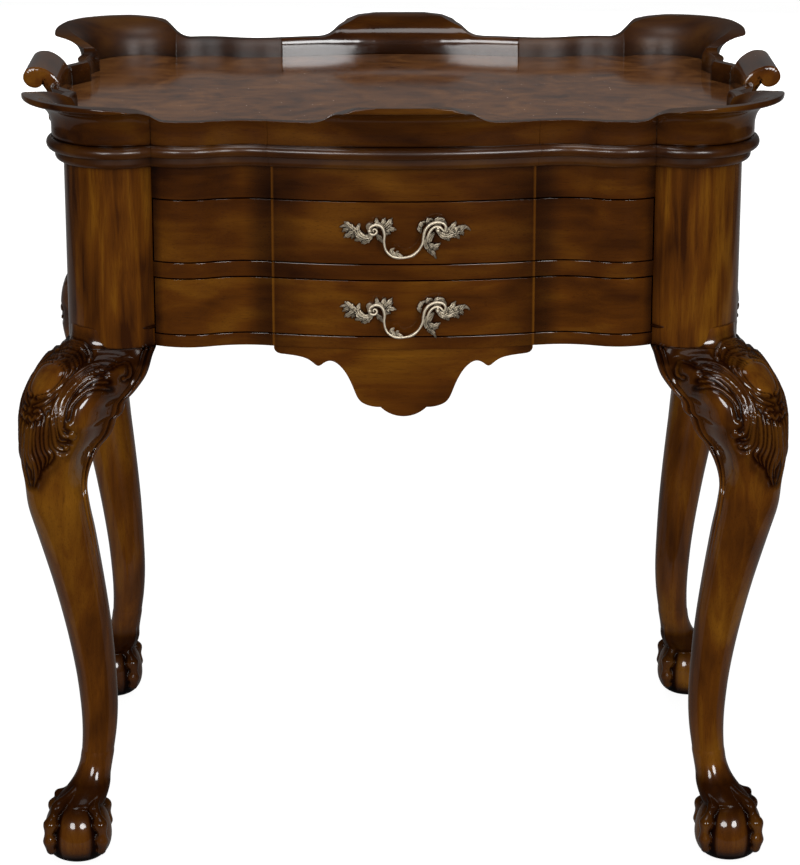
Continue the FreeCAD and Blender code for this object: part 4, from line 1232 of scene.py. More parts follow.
@dataclass(frozen=True)
class PullShape:
    """A swinging bail between two leafy roses."""

    spread: float = 32.0
    axis_y: float = -235.05
    bow: Arc = PLAN.stretches()[0]
    sides: int = 14
    post_sides: int = 20
    bar_rows: tuple = (190, 50, 8)           # sections of the stem, the inner scroll and an eye
    pin_drop: float = 2.8        # the pins' axis below the top of the bail
    # a post's outline: radius and distance, first from the drawer's face, then from the pins
    post_root: tuple = ((3.4, -0.4), (3.4, 0.6), (3, 1.2), (2.3, 1.8), (2, 3.2))
    post_head: tuple = (
        (2, -5.6), (2.3, -4), (2, -3), (1.55, -2.4), (1.55, 1.2), (1.8, 1.6), (1.8, 2.4), (1.4, 3.5),
        (0.2, 3.8),
    )
    left_rose: tuple = (
        Leaf(((-30.4, -2.8), (-31.4, -6.6), (-32.2, -9.8), (-37.1, -9.8), (-42.1, -7.2), (-47.2, -2.6),
              (-52.8, 0.9), (-60.2, -0.6)), 2.7, 4, 2, 3),
        Leaf(((-47.2, -2.3), (-51.1, 1.1), (-55.9, 4.5)), 2.3, 2.5),
        Leaf(((-39.3, -9.3), (-43.2, -4.2), (-42.8, -0.5), (-41.2, 3.2)), 2.2, 2),
        Leaf(((-46.2, -3.7), (-50.3, -6.6), (-53, -8.5), (-56.3, -10.8)), 2.3, 2.5),
        Leaf(((-38.6, -9.5), (-42.1, -11.7), (-46.2, -13.1)), 2, 2),
        Leaf(((-32, -10.2), (-35.6, -13.3), (-40.1, -16.1)), 2.4, 2.5),
        Leaf(((-48, -5.3), (-48, -9), (-49, -12.1)), 1.5, 1.5),
        Leaf(((-51.1, -1.3), (-54.8, -3), (-57.8, -5.3)), 1.6, 1.5),
    )
    crest: tuple = (
        Leaf(((-22.4, -0.5), (-24.9, 3.7), (-25.8, 8.9)), 2.1, 2),
        Leaf(((-20.9, -0.5), (-19.4, 3.7), (-17, 8.9)), 2.1, 2.5),
        Leaf(((-19.4, -1.6), (-14.8, 3.2), (-10.5, 8.7)), 2.1, 2.5),
        Leaf(((-17.8, -2.1), (-12.8, 1.9), (-9.9, 4)), 1.7, 1.5),
        Leaf(((-18.3, -3.7), (-12.8, -1.6), (-6.7, -2.8)), 2, 2.5),
        Leaf(((-19.4, -4.2), (-15.6, -5.3), (-12, -6.6)), 1.7, 1.5),
        Leaf(((-25.3, -6.6), (-22.3, -11), (-19, -15.4)), 1.7, 2),
    )
    right_rose: tuple = (
        Leaf(((31.3, -2.3), (34.9, -6.6), (39.9, -8.5), (46, -6.6), (52.1, -4.2), (58.2, -0.8),
              (63, -4.2)), 2.5, 4, 2, 3),
        Leaf(((41.9, -6.1), (45.2, -1.3), (49.2, 4.9)), 2.2, 2.5),
        Leaf(((38.9, -6.6), (42.5, -1.6), (44.5, 0)), 1.5, 1.5),
        Leaf(((48, -5.3), (51.1, -1.3), (55.3, 0)), 1.8, 2),
        Leaf(((52.6, -4.2), (55.9, -0.5), (58.7, 1.1)), 1.7, 1.5),
        Leaf(((37.9, -7.9), (40.7, -10.8), (43.2, -13.8)), 1.9, 2),
        Leaf(((46.5, -6.6), (50.3, -9), (52.3, -12.1)), 2, 2),
        Leaf(((52.6, -4.8), (55.1, -6.6), (56.3, -8.9)), 1.5, 1.5),
        Leaf(((28.8, -5.3), (24.2, -10.6), (21.5, -14.8), (24.5, -21.2), (27.8, -25.4),
              (31, -31.2)), 2.6, 3.5, 2, 2.6),
        Leaf(((22.9, -15.4), (28.3, -18.6), (35.1, -16.1)), 2, 2.5),
        Leaf(((23.7, -19.6), (24.5, -22.8), (25.9, -26.3)), 1.7, 2),
        Leaf(((27.3, -21.7), (29.8, -20.7), (33, -21.4)), 1.4, 1.5),
        Leaf(((16.1, -5.5), (15, -0.5), (17.6, 4), (22.2, 5.3)), 1.7, 3),
        Leaf(((21.2, 3.7), (24.2, 7.2), (28.3, 6.2)), 1.6, 2),
        Leaf(((28.3, 5.8), (32.3, 7.6), (36.9, 6.4), (40.7, 1.5)), 1.6, 3),
    )
    # the bail: across, above the pins, radius
    stem: tuple = (
        (-27.8, -1.3, 0.70), (-29, -0.2, 0.88), (-27.6, 1.3, 0.97), (-25.7, 0.4, 1.06),
        (-25.3, -2.1, 1.14), (-28, -4.1, 1.23), (-31.1, -3.2, 1.23), (-32.4, -0.1, 1.23),
        (-30.9, 3.2, 1.32), (-25.7, 5.5, 1.50), (-20.4, 3, 1.50), (-18, -3.8, 1.32),
        (-18.4, -11.2, 1.14), (-16.8, -18.7, 1.10), (-12.8, -23.5, 1.23), (-6.7, -26.1, 1.50),
        (1.4, -26.1, 1.06), (8.5, -23.9, 1.41), (14.1, -18.9, 1.06), (17.7, -12.3, 1.23),
        (18.6, -5.9, 1.32), (20.3, 0.4, 1.41), (24.7, 5.5, 1.50), (31.3, 7.8, 1.41), (37.4, 6.4, 1.32),
        (39.5, 2.5, 1.23), (38.1, -1.5, 0.88),
    )
    inner: tuple = (
        (22.1, -10.6, 0.7), (22.7, -5.9, 1.2), (24.9, -0.6, 1.3), (28.8, 3, 1.3), (33.4, 3.2, 1.2),
        (36.1, 0.8, 1.1), (37.7, -1.1, 0.9),
    )
    eye: tuple = ((32, 3.4, 1), (32, 1.3, 1.5), (32, -1.1, 1.9))
    buds: tuple = (
        Leaf(((-6.5, -26.5), (-10.5, -22.9), (-11.2, -19.5), (-8.5, -17.4)), 2.3, 0, 1.8, -1, -1),
        Leaf(((-0.4, -26.7), (-5.1, -24.2), (-6.3, -21.4), (-4.5, -20.1)), 2, 0, 1.8, -1, -1),
    )

    def face_y(self, x: np.ndarray) -> np.ndarray:
        """Depth of the bowed drawer face across the pull."""
        return self.bow.centre[1] - np.sqrt(self.bow.radius ** 2 - x ** 2)

    def leaf_mesh(self, leaf: Leaf, axis_z: float, on_bail: bool) -> tuple[np.ndarray, list]:
        """Points and faces of a leaf in place.

        Args:
            leaf: The leaf.
            axis_z: Height of the pins' axis.
            on_bail: Whether it grows on the bail.

        Returns:
            Points and faces.
        """
        face, back, faces = leaf.grid()
        flat = np.vstack([face, back])
        base = np.full(len(flat), self.axis_y) if on_bail else self.face_y(flat[:, 0])
        return np.column_stack([flat[:, 0], base - flat[:, 2], flat[:, 1] + axis_z]), faces

    def tube_mesh(self, rows: tuple, axis_z: float, count: int) -> tuple[np.ndarray, list]:
        """A round bar of varying size in the plane of the pins.

        Args:
            rows: Places across and above the pins, and radius.
            axis_z: Height of the pins' axis.
            count: Number of sections.

        Returns:
            Points and faces.
        """
        line = smooth_line(rows, count)
        way = headings(line[:, :2])
        side = np.column_stack([-way[:, 1], way[:, 0]])
        turn = circle(self.sides)
        across = line[:, None, :2] + side[:, None, :] * (line[:, None, 2:] * np.cos(turn)[None, :, None])
        out = -line[:, 2:] * np.sin(turn)[None, :]
        points = np.dstack([across[:, :, 0], self.axis_y + out, across[:, :, 1] + axis_z])
        return points.reshape(-1, 3), tube_faces(count, self.sides)

    def post_mesh(self, x: float, axis_z: float) -> tuple[np.ndarray, list]:
        """A turned post from the drawer face out to the pin.

        Args:
            x: Place across the drawer.
            axis_z: Height of the pins' axis.

        Returns:
            Points and faces.
        """
        face = float(self.face_y(np.array([x]))[0])
        reach = face - self.axis_y
        profile = (*self.post_root, *((r, reach + d) for r, d in self.post_head))
        turn = circle(self.post_sides)
        rows = [[(x + r * math.cos(a), face - d, axis_z + r * math.sin(a)) for a in turn] for r, d in profile]
        return np.array(rows).reshape(-1, 3), tube_faces(len(rows), len(turn))

    def build(self, drawer: str, finish: bpy.types.Material) -> None:
        """Build the roses and the bail of one drawer.

        Args:
            drawer: Which drawer: upper or lower.
            finish: The finish they get.
        """
        low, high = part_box(f"{drawer}_bail")
        axis_z = high[2] / MM - self.pin_drop
        leaves = (*self.left_rose, *self.crest, *self.right_rose)
        roses = [self.leaf_mesh(leaf, axis_z, False) for leaf in leaves]
        roses += [self.post_mesh(x, axis_z) for x in (-self.spread, self.spread)]
        bail = [self.tube_mesh(bar, axis_z, count)
                for bar, count in zip((self.stem, self.inner, self.eye), self.bar_rows)]
        bail += [self.leaf_mesh(leaf, axis_z, True) for leaf in self.buds]
        for name, parts, body, node in (("pull_roses", roses, "drawer", "pull_posts"),
                                        ("scrolled_bail", bail, "bail", "bail")):
            piece = mesh_piece(f"{drawer}_{name}", *gathered(parts))
            dress(piece, finish)
            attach(piece, f"{drawer}_{body}")
            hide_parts(f"{drawer}_{node}")
        LOG.info("built %s pull, pins at %.1f, low %.1f", drawer, axis_z, low[2] / MM)


# ---------------------------------------------------------------- finishes
class Grain(Enum):
    """The way the grain runs, as a turn that lays it along the group's x axis."""

    ALONG_X = (0.0, 0.0, 0.0)
    ALONG_Y = (0.0, 0.0, math.pi / 2)
    ALONG_Z = (0.0, math.pi / 2, 0.0)


def dress(piece: bpy.types.Object, finish: bpy.types.Material) -> None:
    """Give a piece one finish.

    Args:
        piece: The piece.
        finish: The finish it gets.
    """
    piece.data.materials.clear()
    piece.data.materials.append(finish)


def new_group(name: str, inputs: list, outputs: list) -> bpy.types.NodeTree:
    """Make an empty shader node group.

    Args:
        name: Name of the group.
        inputs: Pairs of socket name and socket type or default value.
        outputs: Pairs of socket name and socket type.

    Returns:
        The group with its two end nodes in place.
    """
    group = bpy.data.node_groups.new(name, "ShaderNodeTree")
    for label, kind, value in inputs:
        item = group.interface.new_socket(name=label, in_out="INPUT", socket_type=kind)
        if value is not None:
            item.default_value = value
    for label, kind in outputs:
        group.interface.new_socket(name=label, in_out="OUTPUT", socket_type=kind)
    group.nodes.new("NodeGroupInput")
    group.nodes.new("NodeGroupOutput")
    return group


class Nodes:
    """Short ways to add and join shader nodes in one tree."""

    def __init__(self, tree: bpy.types.NodeTree) -> None:
        """Keep the tree."""
        self.tree = tree

    def add(self, kind: str, **values: object) -> bpy.types.Node:
        """Add a node; values set its properties or, by socket name, its inputs.

        Args:
            kind: The node's type, without ShaderNode.
            **values: The values.

        Returns:
            The node.
        """
        node = self.tree.nodes.new("ShaderNode" + kind)
        for key, value in values.items():
            if hasattr(node, key):
                setattr(node, key, value)
            else:
                node.inputs[key.replace("_", " ")].default_value = value
        return node

    def join(self, source: object, target: object) -> None:
        """Link an output to an input."""
        self.tree.links.new(source, target)

    def math(self, operation: str, a: object, b: object = None) -> object:
        """Output of a Math node; a and b are outputs or numbers.

        Args:
            operation: What the node does.
            a: First value.
            b: Second value, if it has one.

        Returns:
            The output socket.
        """
        node = self.add("Math", operation=operation)
        for k, value in enumerate((a, b)):
            if value is None:
                continue
            if isinstance(value, (int, float)):
                node.inputs[k].default_value = value
            else:
                self.join(value, node.inputs[k])
        return node.outputs[0]

    def ramp(self, value: object, stops: list) -> bpy.types.Node:
        """Colour ramp fed by value; stops are pairs of place and colour or grey.

        Args:
            value: The output that feeds it.
            stops: The pairs.

        Returns:
            The node.
        """
        node = self.add("ValToRGB")
        elements = node.color_ramp.elements
        for k, (place, colour) in enumerate(stops):
            element = elements[k] if k < 2 else elements.new(place)
            element.position = place
            rgb = colour if isinstance(colour, tuple) else (colour,) * 3
            element.color = (*rgb, 1.0)
        self.join(value, node.inputs[0])
        return node

    def mix(self, kind: str, share: object, a: object, b: object) -> object:
        """Colour output of a Mix node with a blend type.

        Args:
            kind: Blend type.
            share: How much of b there is.
            a: First colour.
            b: Second colour.

        Returns:
            The output socket.
        """
        node = self.add("Mix", data_type="RGBA", blend_type=kind)
        for socket, value in ((node.inputs[0], share), (node.inputs[6], a), (node.inputs[7], b)):
            if isinstance(value, (int, float)):
                socket.default_value = value
            elif isinstance(value, tuple):
                socket.default_value = (*value, 1.0)
            else:
                self.join(value, socket)
        return node.outputs[2]

    def line(self, value: object, slope: float, base: float) -> object:
        """Output of slope times value plus base."""
        return self.math("ADD", base, self.math("MULTIPLY", value, slope))

    def bump(self, height: object, strength: float, distance: float, normal: object) -> None:
        """Emboss a surface through its shader's Normal socket.

        Args:
            height: The output that gives the height.
            strength: Strength of the bump.
            distance: Height of the bump in metres.
            normal: The Normal socket.
        """
        node = self.add("Bump", Strength=strength, Distance=distance)
        self.join(height, node.inputs["Height"])
        self.join(node.outputs[0], normal)


def wood_group() -> bpy.types.NodeTree:
    """Grain, ribbon figure and pores of a close-grained timber, running along x.

    Returns:
        The group.
    """
    group = new_group("wood_grain", [
        ("Vector", "NodeSocketVector", None),
        ("Fineness", "NodeSocketFloat", 1.0),
        ("Figure", "NodeSocketFloat", 0.5),
        ("Streak", "NodeSocketFloat", 0.3),
    ], [("Tone", "NodeSocketFloat"), ("Pores", "NodeSocketFloat"), ("Blotch", "NodeSocketFloat")])
    n = Nodes(group)
    ends = group.nodes["Group Input"].outputs
    out = group.nodes["Group Output"].inputs
    scaled = n.add("VectorMath", operation="SCALE")
    n.join(ends["Vector"], scaled.inputs[0])
    n.join(ends["Fineness"], scaled.inputs["Scale"])

    def stretched(scale: tuple, frequency: float, detail: float, distortion: float) -> object:
        """Noise drawn out along the grain.

        Args:
            scale: Stretch along each axis.
            frequency: Scale of the noise.
            detail: Its detail.
            distortion: Its distortion.

        Returns:
            The output socket.
        """
        place = n.add("Mapping", Scale=scale)
        n.join(scaled.outputs[0], place.inputs["Vector"])
        noise = n.add("TexNoise", Scale=frequency, Detail=detail, Roughness=0.6, Distortion=distortion)
        n.join(place.outputs[0], noise.inputs["Vector"])
        return noise.outputs["Fac"]

    streaks = stretched((1.0, 14.0, 14.0), 7.0, 4.0, 0.5)
    ribbon = stretched((3.0, 8.0, 8.0), 4.6, 1.0, 0.5)
    broad = stretched((1.0, 2.4, 2.4), 6.0, 2.0, 0.5)
    pores = stretched((9.0, 190.0, 190.0), 9.0, 2.0, 0.0)
    figure = n.math("MULTIPLY", n.math("SUBTRACT", ribbon, 0.5), ends["Figure"])
    lines = n.math("MULTIPLY", n.math("SUBTRACT", streaks, 0.5), ends["Streak"])
    tone = n.line(n.math("SUBTRACT", broad, 0.5), 0.6, 0.5)
    n.join(n.math("ADD", n.math("ADD", tone, lines), figure), out["Tone"])
    n.join(n.ramp(pores, [(0.56, 0.0), (0.68, 1.0)]).outputs[0], out["Pores"])
    n.join(broad, out["Blotch"])
    return group


def burl_group() -> bpy.types.NodeTree:
    """Mottled figure of a veneer, without a clear direction.

    Returns:
        The group.
    """
    group = new_group("veneer_figure", [("Vector", "NodeSocketVector", None)],
                      [("Tone", "NodeSocketFloat"), ("Flecks", "NodeSocketFloat")])
    n = Nodes(group)
    vector = group.nodes["Group Input"].outputs["Vector"]
    out = group.nodes["Group Output"].inputs
    swirl = n.add("TexNoise", Scale=14.0, Detail=6.0, Roughness=0.62, Distortion=1.8)
    n.join(vector, swirl.inputs["Vector"])
    place = n.add("Mapping", Scale=(1.0, 2.6, 1.0))
    n.join(vector, place.inputs["Vector"])
    stripes = n.add("TexNoise", Scale=30.0, Detail=4.0, Roughness=0.6, Distortion=0.8)
    n.join(place.outputs[0], stripes.inputs["Vector"])
    tone = n.math("ADD", n.math("MULTIPLY", swirl.outputs["Fac"], 0.62),
                  n.math("MULTIPLY", stripes.outputs["Fac"], 0.38))
    n.join(tone, out["Tone"])
    flecks = n.add("TexNoise", Scale=90.0, Detail=3.0, Roughness=0.7, Distortion=0.4)
    n.join(place.outputs[0], flecks.inputs["Vector"])
    n.join(n.ramp(flecks.outputs["Fac"], [(0.55, 0.0), (0.72, 1.0)]).outputs[0], out["Flecks"])
    return group


def shading_group() -> bpy.types.NodeTree:
    """Darkness where ambient occlusion finds a hollow, which the timbers use as painted shade and the metals
    as patina, and a mask of proud edges.

    Returns:
        The group.
    """
    group = new_group("hollow_shading", [("Reach", "NodeSocketFloat", 0.02)],
                      [("Hollow", "NodeSocketFloat"), ("Edge", "NodeSocketFloat")])
    n = Nodes(group)
    reach = group.nodes["Group Input"].outputs["Reach"]
    out = group.nodes["Group Output"].inputs
    inside = n.add("AmbientOcclusion", samples=8)
    n.join(reach, inside.inputs["Distance"])
    n.join(n.math("SUBTRACT", 1.0, inside.outputs["AO"]), out["Hollow"])
    shape = n.add("NewGeometry")
    n.join(n.ramp(shape.outputs["Pointiness"], [(0.51, 0.0), (0.58, 1.0)]).outputs[0], out["Edge"])
    return group


def new_material(name: str) -> tuple[bpy.types.Material, Nodes, object]:
    """Make a material; gives it, a helper for its nodes and its shader's sockets.

    Args:
        name: Name of the material.

    Returns:
        The three of them.
    """
    material = bpy.data.materials.new(name)
    material.use_nodes = True
    return material, Nodes(material.node_tree), material.node_tree.nodes["Principled BSDF"].inputs


def polish(shader: object, gloss: float) -> None:
    """Lay a clear coat over a finish.

    Args:
        shader: The shader's sockets.
        gloss: The coat's roughness.
    """
    shader["Specular IOR Level"].default_value = 0.05
    shader["Coat Weight"].default_value = 1.0
    shader["Coat Roughness"].default_value = gloss
    shader["Coat IOR"].default_value = 1.45


@dataclass(frozen=True)
class Lacquer:
    """A polished timber finish, with painted shade in its hollows."""

    name: str
    grain: Grain
    light: tuple = (0.190, 0.072, 0.0042)
    middle: tuple = (0.096, 0.028, 0.0018)
    dark: tuple = (0.030, 0.0076, 0.0010)
    # colour that paints shade: in hollows, beside the front's arrises, under the pillars and in the legs'
    # carving
    painted_shade_tint: tuple = (0.10, 0.06, 0.05)
    fineness: float = 1.0
    figure: float = 0.40
    streak: float = 0.30
    seed: float = 0.0
    gloss: float = 0.07
    ground: bool = False         # whether the 'ground' attribute paints the legs darker: painted shade under the pillars and in the carving
    painted_arris_shade: bool = False        # whether shade is painted beside the front's arrises and beside the pillars, with a painted highlight along each arris
    # places from the middle of the front, as shares of arris_shade_reach, and how dark the painted shade is
    # at each
    arris_shade_stops: tuple = ((0.34, 0.0), (0.455, 0.45), (0.4715, 0.60), (0.4735, 0.0), (0.4775, 0.0), (0.4795, 0.72),
                    (0.525, 0.55), (0.580, 0), (0.875, 0), (0.900, 0.55))
    # painted highlight: a thin lighter line along each arris
    wear_and_highlight: tuple = ((0.4715, 0.0), (0.4735, 0.55), (0.4775, 0.55), (0.4795, 0.0))
    arris_shade_reach: float = 0.26

    def make(self, groups: dict) -> bpy.types.Material:
        """Build the material.

        Args:
            groups: The shader node groups by name.

        Returns:
            The material.
        """
        material, n, shader = new_material(self.name)
        place = n.add("TexCoord")
        turn = n.add("Mapping", Rotation=self.grain.value, Location=(self.seed, self.seed * 1.7, -self.seed))
        n.join(place.outputs["Object"], turn.inputs["Vector"])
        wood = n.add("Group", node_tree=groups["wood"], Fineness=self.fineness, Figure=self.figure,
                     Streak=self.streak)
        n.join(turn.outputs[0], wood.inputs["Vector"])
        colour = n.ramp(wood.outputs["Tone"], [(0.30, self.dark), (0.72, self.light), (0.50, self.middle)])
        shade = n.add("Group", node_tree=groups["shading"], Reach=0.03)
        pored = n.mix("MIX", n.math("MULTIPLY", wood.outputs["Pores"], 0.45), colour.outputs[0], self.dark)
        # painted shade: ambient occlusion darkens the colour in hollows, under lips and between parts
        hollow = n.ramp(shade.outputs["Hollow"], [(0.10, 0.0), (0.62, 1.0)])
        shaded = n.mix("MULTIPLY", hollow.outputs[0], pored, self.painted_shade_tint)
        if self.ground:
            # painted shade and darkness from the legs' 'ground' attribute
            sunk = n.add("Attribute", attribute_name="ground")
            shaded = n.mix("MULTIPLY", sunk.outputs["Fac"], shaded, self.painted_shade_tint)
            coat = n.ramp(sunk.outputs["Fac"], [(0.48, 1.0), (0.72, 0.10)])
            n.join(coat.outputs[0], shader["Coat Weight"])
        if self.painted_arris_shade:
            # painted shade beside the front's arrises and the pillars, and a painted highlight along each
            # arris
            apart = n.add("SeparateXYZ")
            n.join(place.outputs["Object"], apart.inputs[0])
            share = n.math("DIVIDE", n.math("ABSOLUTE", apart.outputs["X"]), self.arris_shade_reach)
            arris_shade_ramp = n.ramp(share, list(self.arris_shade_stops))
            shaded = n.mix("MULTIPLY", arris_shade_ramp.outputs[0], shaded, self.painted_shade_tint)
            shaded = n.mix("MIX", n.ramp(share, list(self.wear_and_highlight)).outputs[0], shaded, self.light)
        n.join(shaded, shader["Base Color"])
        n.join(n.line(wood.outputs["Blotch"], 0.12, self.gloss + 0.12), shader["Roughness"])
        grain = n.math("SUBTRACT", wood.outputs["Tone"], wood.outputs["Pores"])
        n.bump(grain, 0.05, 0.0004, shader["Normal"])
        polish(shader, self.gloss)
        return material


@dataclass(frozen=True)
class Veneer:
    """Mottled figured veneer under polish."""

    name: str = "tray_veneer"
    light: tuple = (0.370, 0.150, 0.042)
    middle: tuple = (0.225, 0.084, 0.024)
    dark: tuple = (0.085, 0.030, 0.010)
    gloss: float = 0.16
    coat: float = 0.10

    def make(self, groups: dict) -> bpy.types.Material:
        """Build the material.

        Args:
            groups: The shader node groups by name.

        Returns:
            The material.
        """
        material, n, shader = new_material(self.name)
        place = n.add("TexCoord")
        burl = n.add("Group", node_tree=groups["burl"])
        n.join(place.outputs["Object"], burl.inputs["Vector"])
        colour = n.ramp(burl.outputs["Tone"], [(0.36, self.dark), (0.64, self.light), (0.5, self.middle)])
        flecked = n.mix("MIX", n.math("MULTIPLY", burl.outputs["Flecks"], 0.35), colour.outputs[0], self.dark)
        n.join(flecked, shader["Base Color"])
        n.join(n.line(burl.outputs["Tone"], 0.1, self.gloss), shader["Roughness"])
        n.bump(burl.outputs["Tone"], 0.04, 0.0005, shader["Normal"])
        polish(shader, self.coat)
        return material


@dataclass(frozen=True)
class PlainTimber:
    """Sanded secondary timber with a thin sealer."""

    name: str = "drawer_lining"
    light: tuple = (0.42, 0.27, 0.14)
    dark: tuple = (0.25, 0.14, 0.06)

    def make(self, groups: dict) -> bpy.types.Material:
        """Build the material.

        Args:
            groups: The shader node groups by name.

        Returns:
            The material.
        """
        material, n, shader = new_material(self.name)
        place = n.add("TexCoord")
        wood = n.add("Group", node_tree=groups["wood"])
        n.join(place.outputs["Object"], wood.inputs["Vector"])
        colour = n.ramp(wood.outputs["Tone"], [(0.3, self.dark), (0.7, self.light)])
        n.join(colour.outputs[0], shader["Base Color"])
        n.join(n.line(wood.outputs["Blotch"], 0.2, 0.5), shader["Roughness"])
        n.bump(wood.outputs["Tone"], 0.15, 0.0004, shader["Normal"])
        return material


@dataclass(frozen=True)
class CastMetal:
    """Cast metal, rubbed bright on its high parts and dark in its hollows."""

    name: str
    bright: tuple
    dark: tuple
    gloss: float = 0.3
    metal: float = 0.8           # a worn skin covers the rest

    def make(self, groups: dict) -> bpy.types.Material:
        """Build the material.

        Args:
            groups: The shader node groups by name.

        Returns:
            The material.
        """
        material, n, shader = new_material(self.name)
        place = n.add("TexCoord")
        noise = n.add("TexNoise", Scale=420.0, Detail=4.0, Roughness=0.6)
        n.join(place.outputs["Object"], noise.inputs["Vector"])
        shade = n.add("Group", node_tree=groups["shading"], Reach=0.004)
        grime = n.math("ADD", n.math("MULTIPLY", shade.outputs["Hollow"], 1.35),
                       n.math("MULTIPLY", n.math("SUBTRACT", noise.outputs["Fac"], 0.5), 0.5))
        # the metal's own patina in the hollows, rubbed bright on proud edges
        wear_and_highlight = n.math("SUBTRACT", grime, n.math("MULTIPLY", shade.outputs["Edge"], 0.6))
        colour = n.ramp(wear_and_highlight, [(0.1, self.bright), (0.75, self.dark)])
        n.join(colour.outputs[0], shader["Base Color"])
        n.join(n.line(noise.outputs["Fac"], 0.2, self.gloss), shader["Roughness"])
        n.bump(noise.outputs["Fac"], 0.25, 0.0003, shader["Normal"])
        shader["Metallic"].default_value = self.metal
        return material


@dataclass(frozen=True)
class Casework:
    """The plain boards and mouldings that keep their CAD shape."""

    bevel: float = 0.6
    bevel_from: float = 40.0     # degrees between faces
    weld: float = 0.02
    # how a node's name starts and ends, and its finish: the first row that fits counts
    rules: tuple = (
        ("tray_floor", "", "veneer"),
        *((start, "", "moulded") for start in ("bead_front", "band_front", "bead_back", "band_back",
                                               "bead_corners", "band_corners", "top_board")),
        *((drawer + "_pull_", "", "brass") for drawer in ("upper", "lower")),
        ("", "_bail", "brass"),
        *((start, "", "steel") for start in ("top_screws", "leg_bolts")),
        *((start, "", "lining") for start in ("drawer_runners", "dust_panel", "glue_blocks")),
        ("upper_drawer_", "front", "level"),
        ("lower_drawer_", "front", "level_painted_lighter"),
        *((drawer + "_drawer_", "", "lining") for drawer in ("upper", "lower")),
        *((start, "", "upright") for start in ("pillar_", "leg_", "knee_")),
        *((start, "", "crosswise") for start in ("side_panel", "bead_sides", "band_sides")),
        ("front_apron", "", "level_painted_lighter"),
        ("", "", "level"),
    )

    def finish_of(self, node: str) -> str:
        """Choose the finish of a node by its name.

        Args:
            node: Name of the node.

        Returns:
            Key of the finish.
        """
        return next(finish for start, end, finish in self.rules
                    if node.startswith(start) and node.endswith(end))

    def dress(self, finishes: dict) -> None:
        """Finish every CAD node and soften the arrises of the boards.

        Args:
            finishes: The finishes by key.
        """
        for name, piece in frame["nodes"].items():
            key = self.finish_of(name)
            dress(piece, finishes[key])
            if key not in ("brass", "steel"):
                self.soften(piece)
            LOG.info("dressed %s", name)

    def soften(self, piece: bpy.types.Object) -> None:
        """Round the arrises of a board a little.

        Args:
            piece: The piece.
        """
        weld = piece.modifiers.new("weld", "WELD")
        weld.merge_threshold = self.weld * MM
        bevel = piece.modifiers.new("arris", "BEVEL")
        bevel.width = self.bevel * MM
        bevel.segments = 2
        bevel.limit_method = "ANGLE"
        bevel.angle_limit = math.radians(self.bevel_from)
        normals = piece.modifiers.new("normals", "WEIGHTED_NORMAL")
        normals.weight = 100
        normals.keep_sharp = True


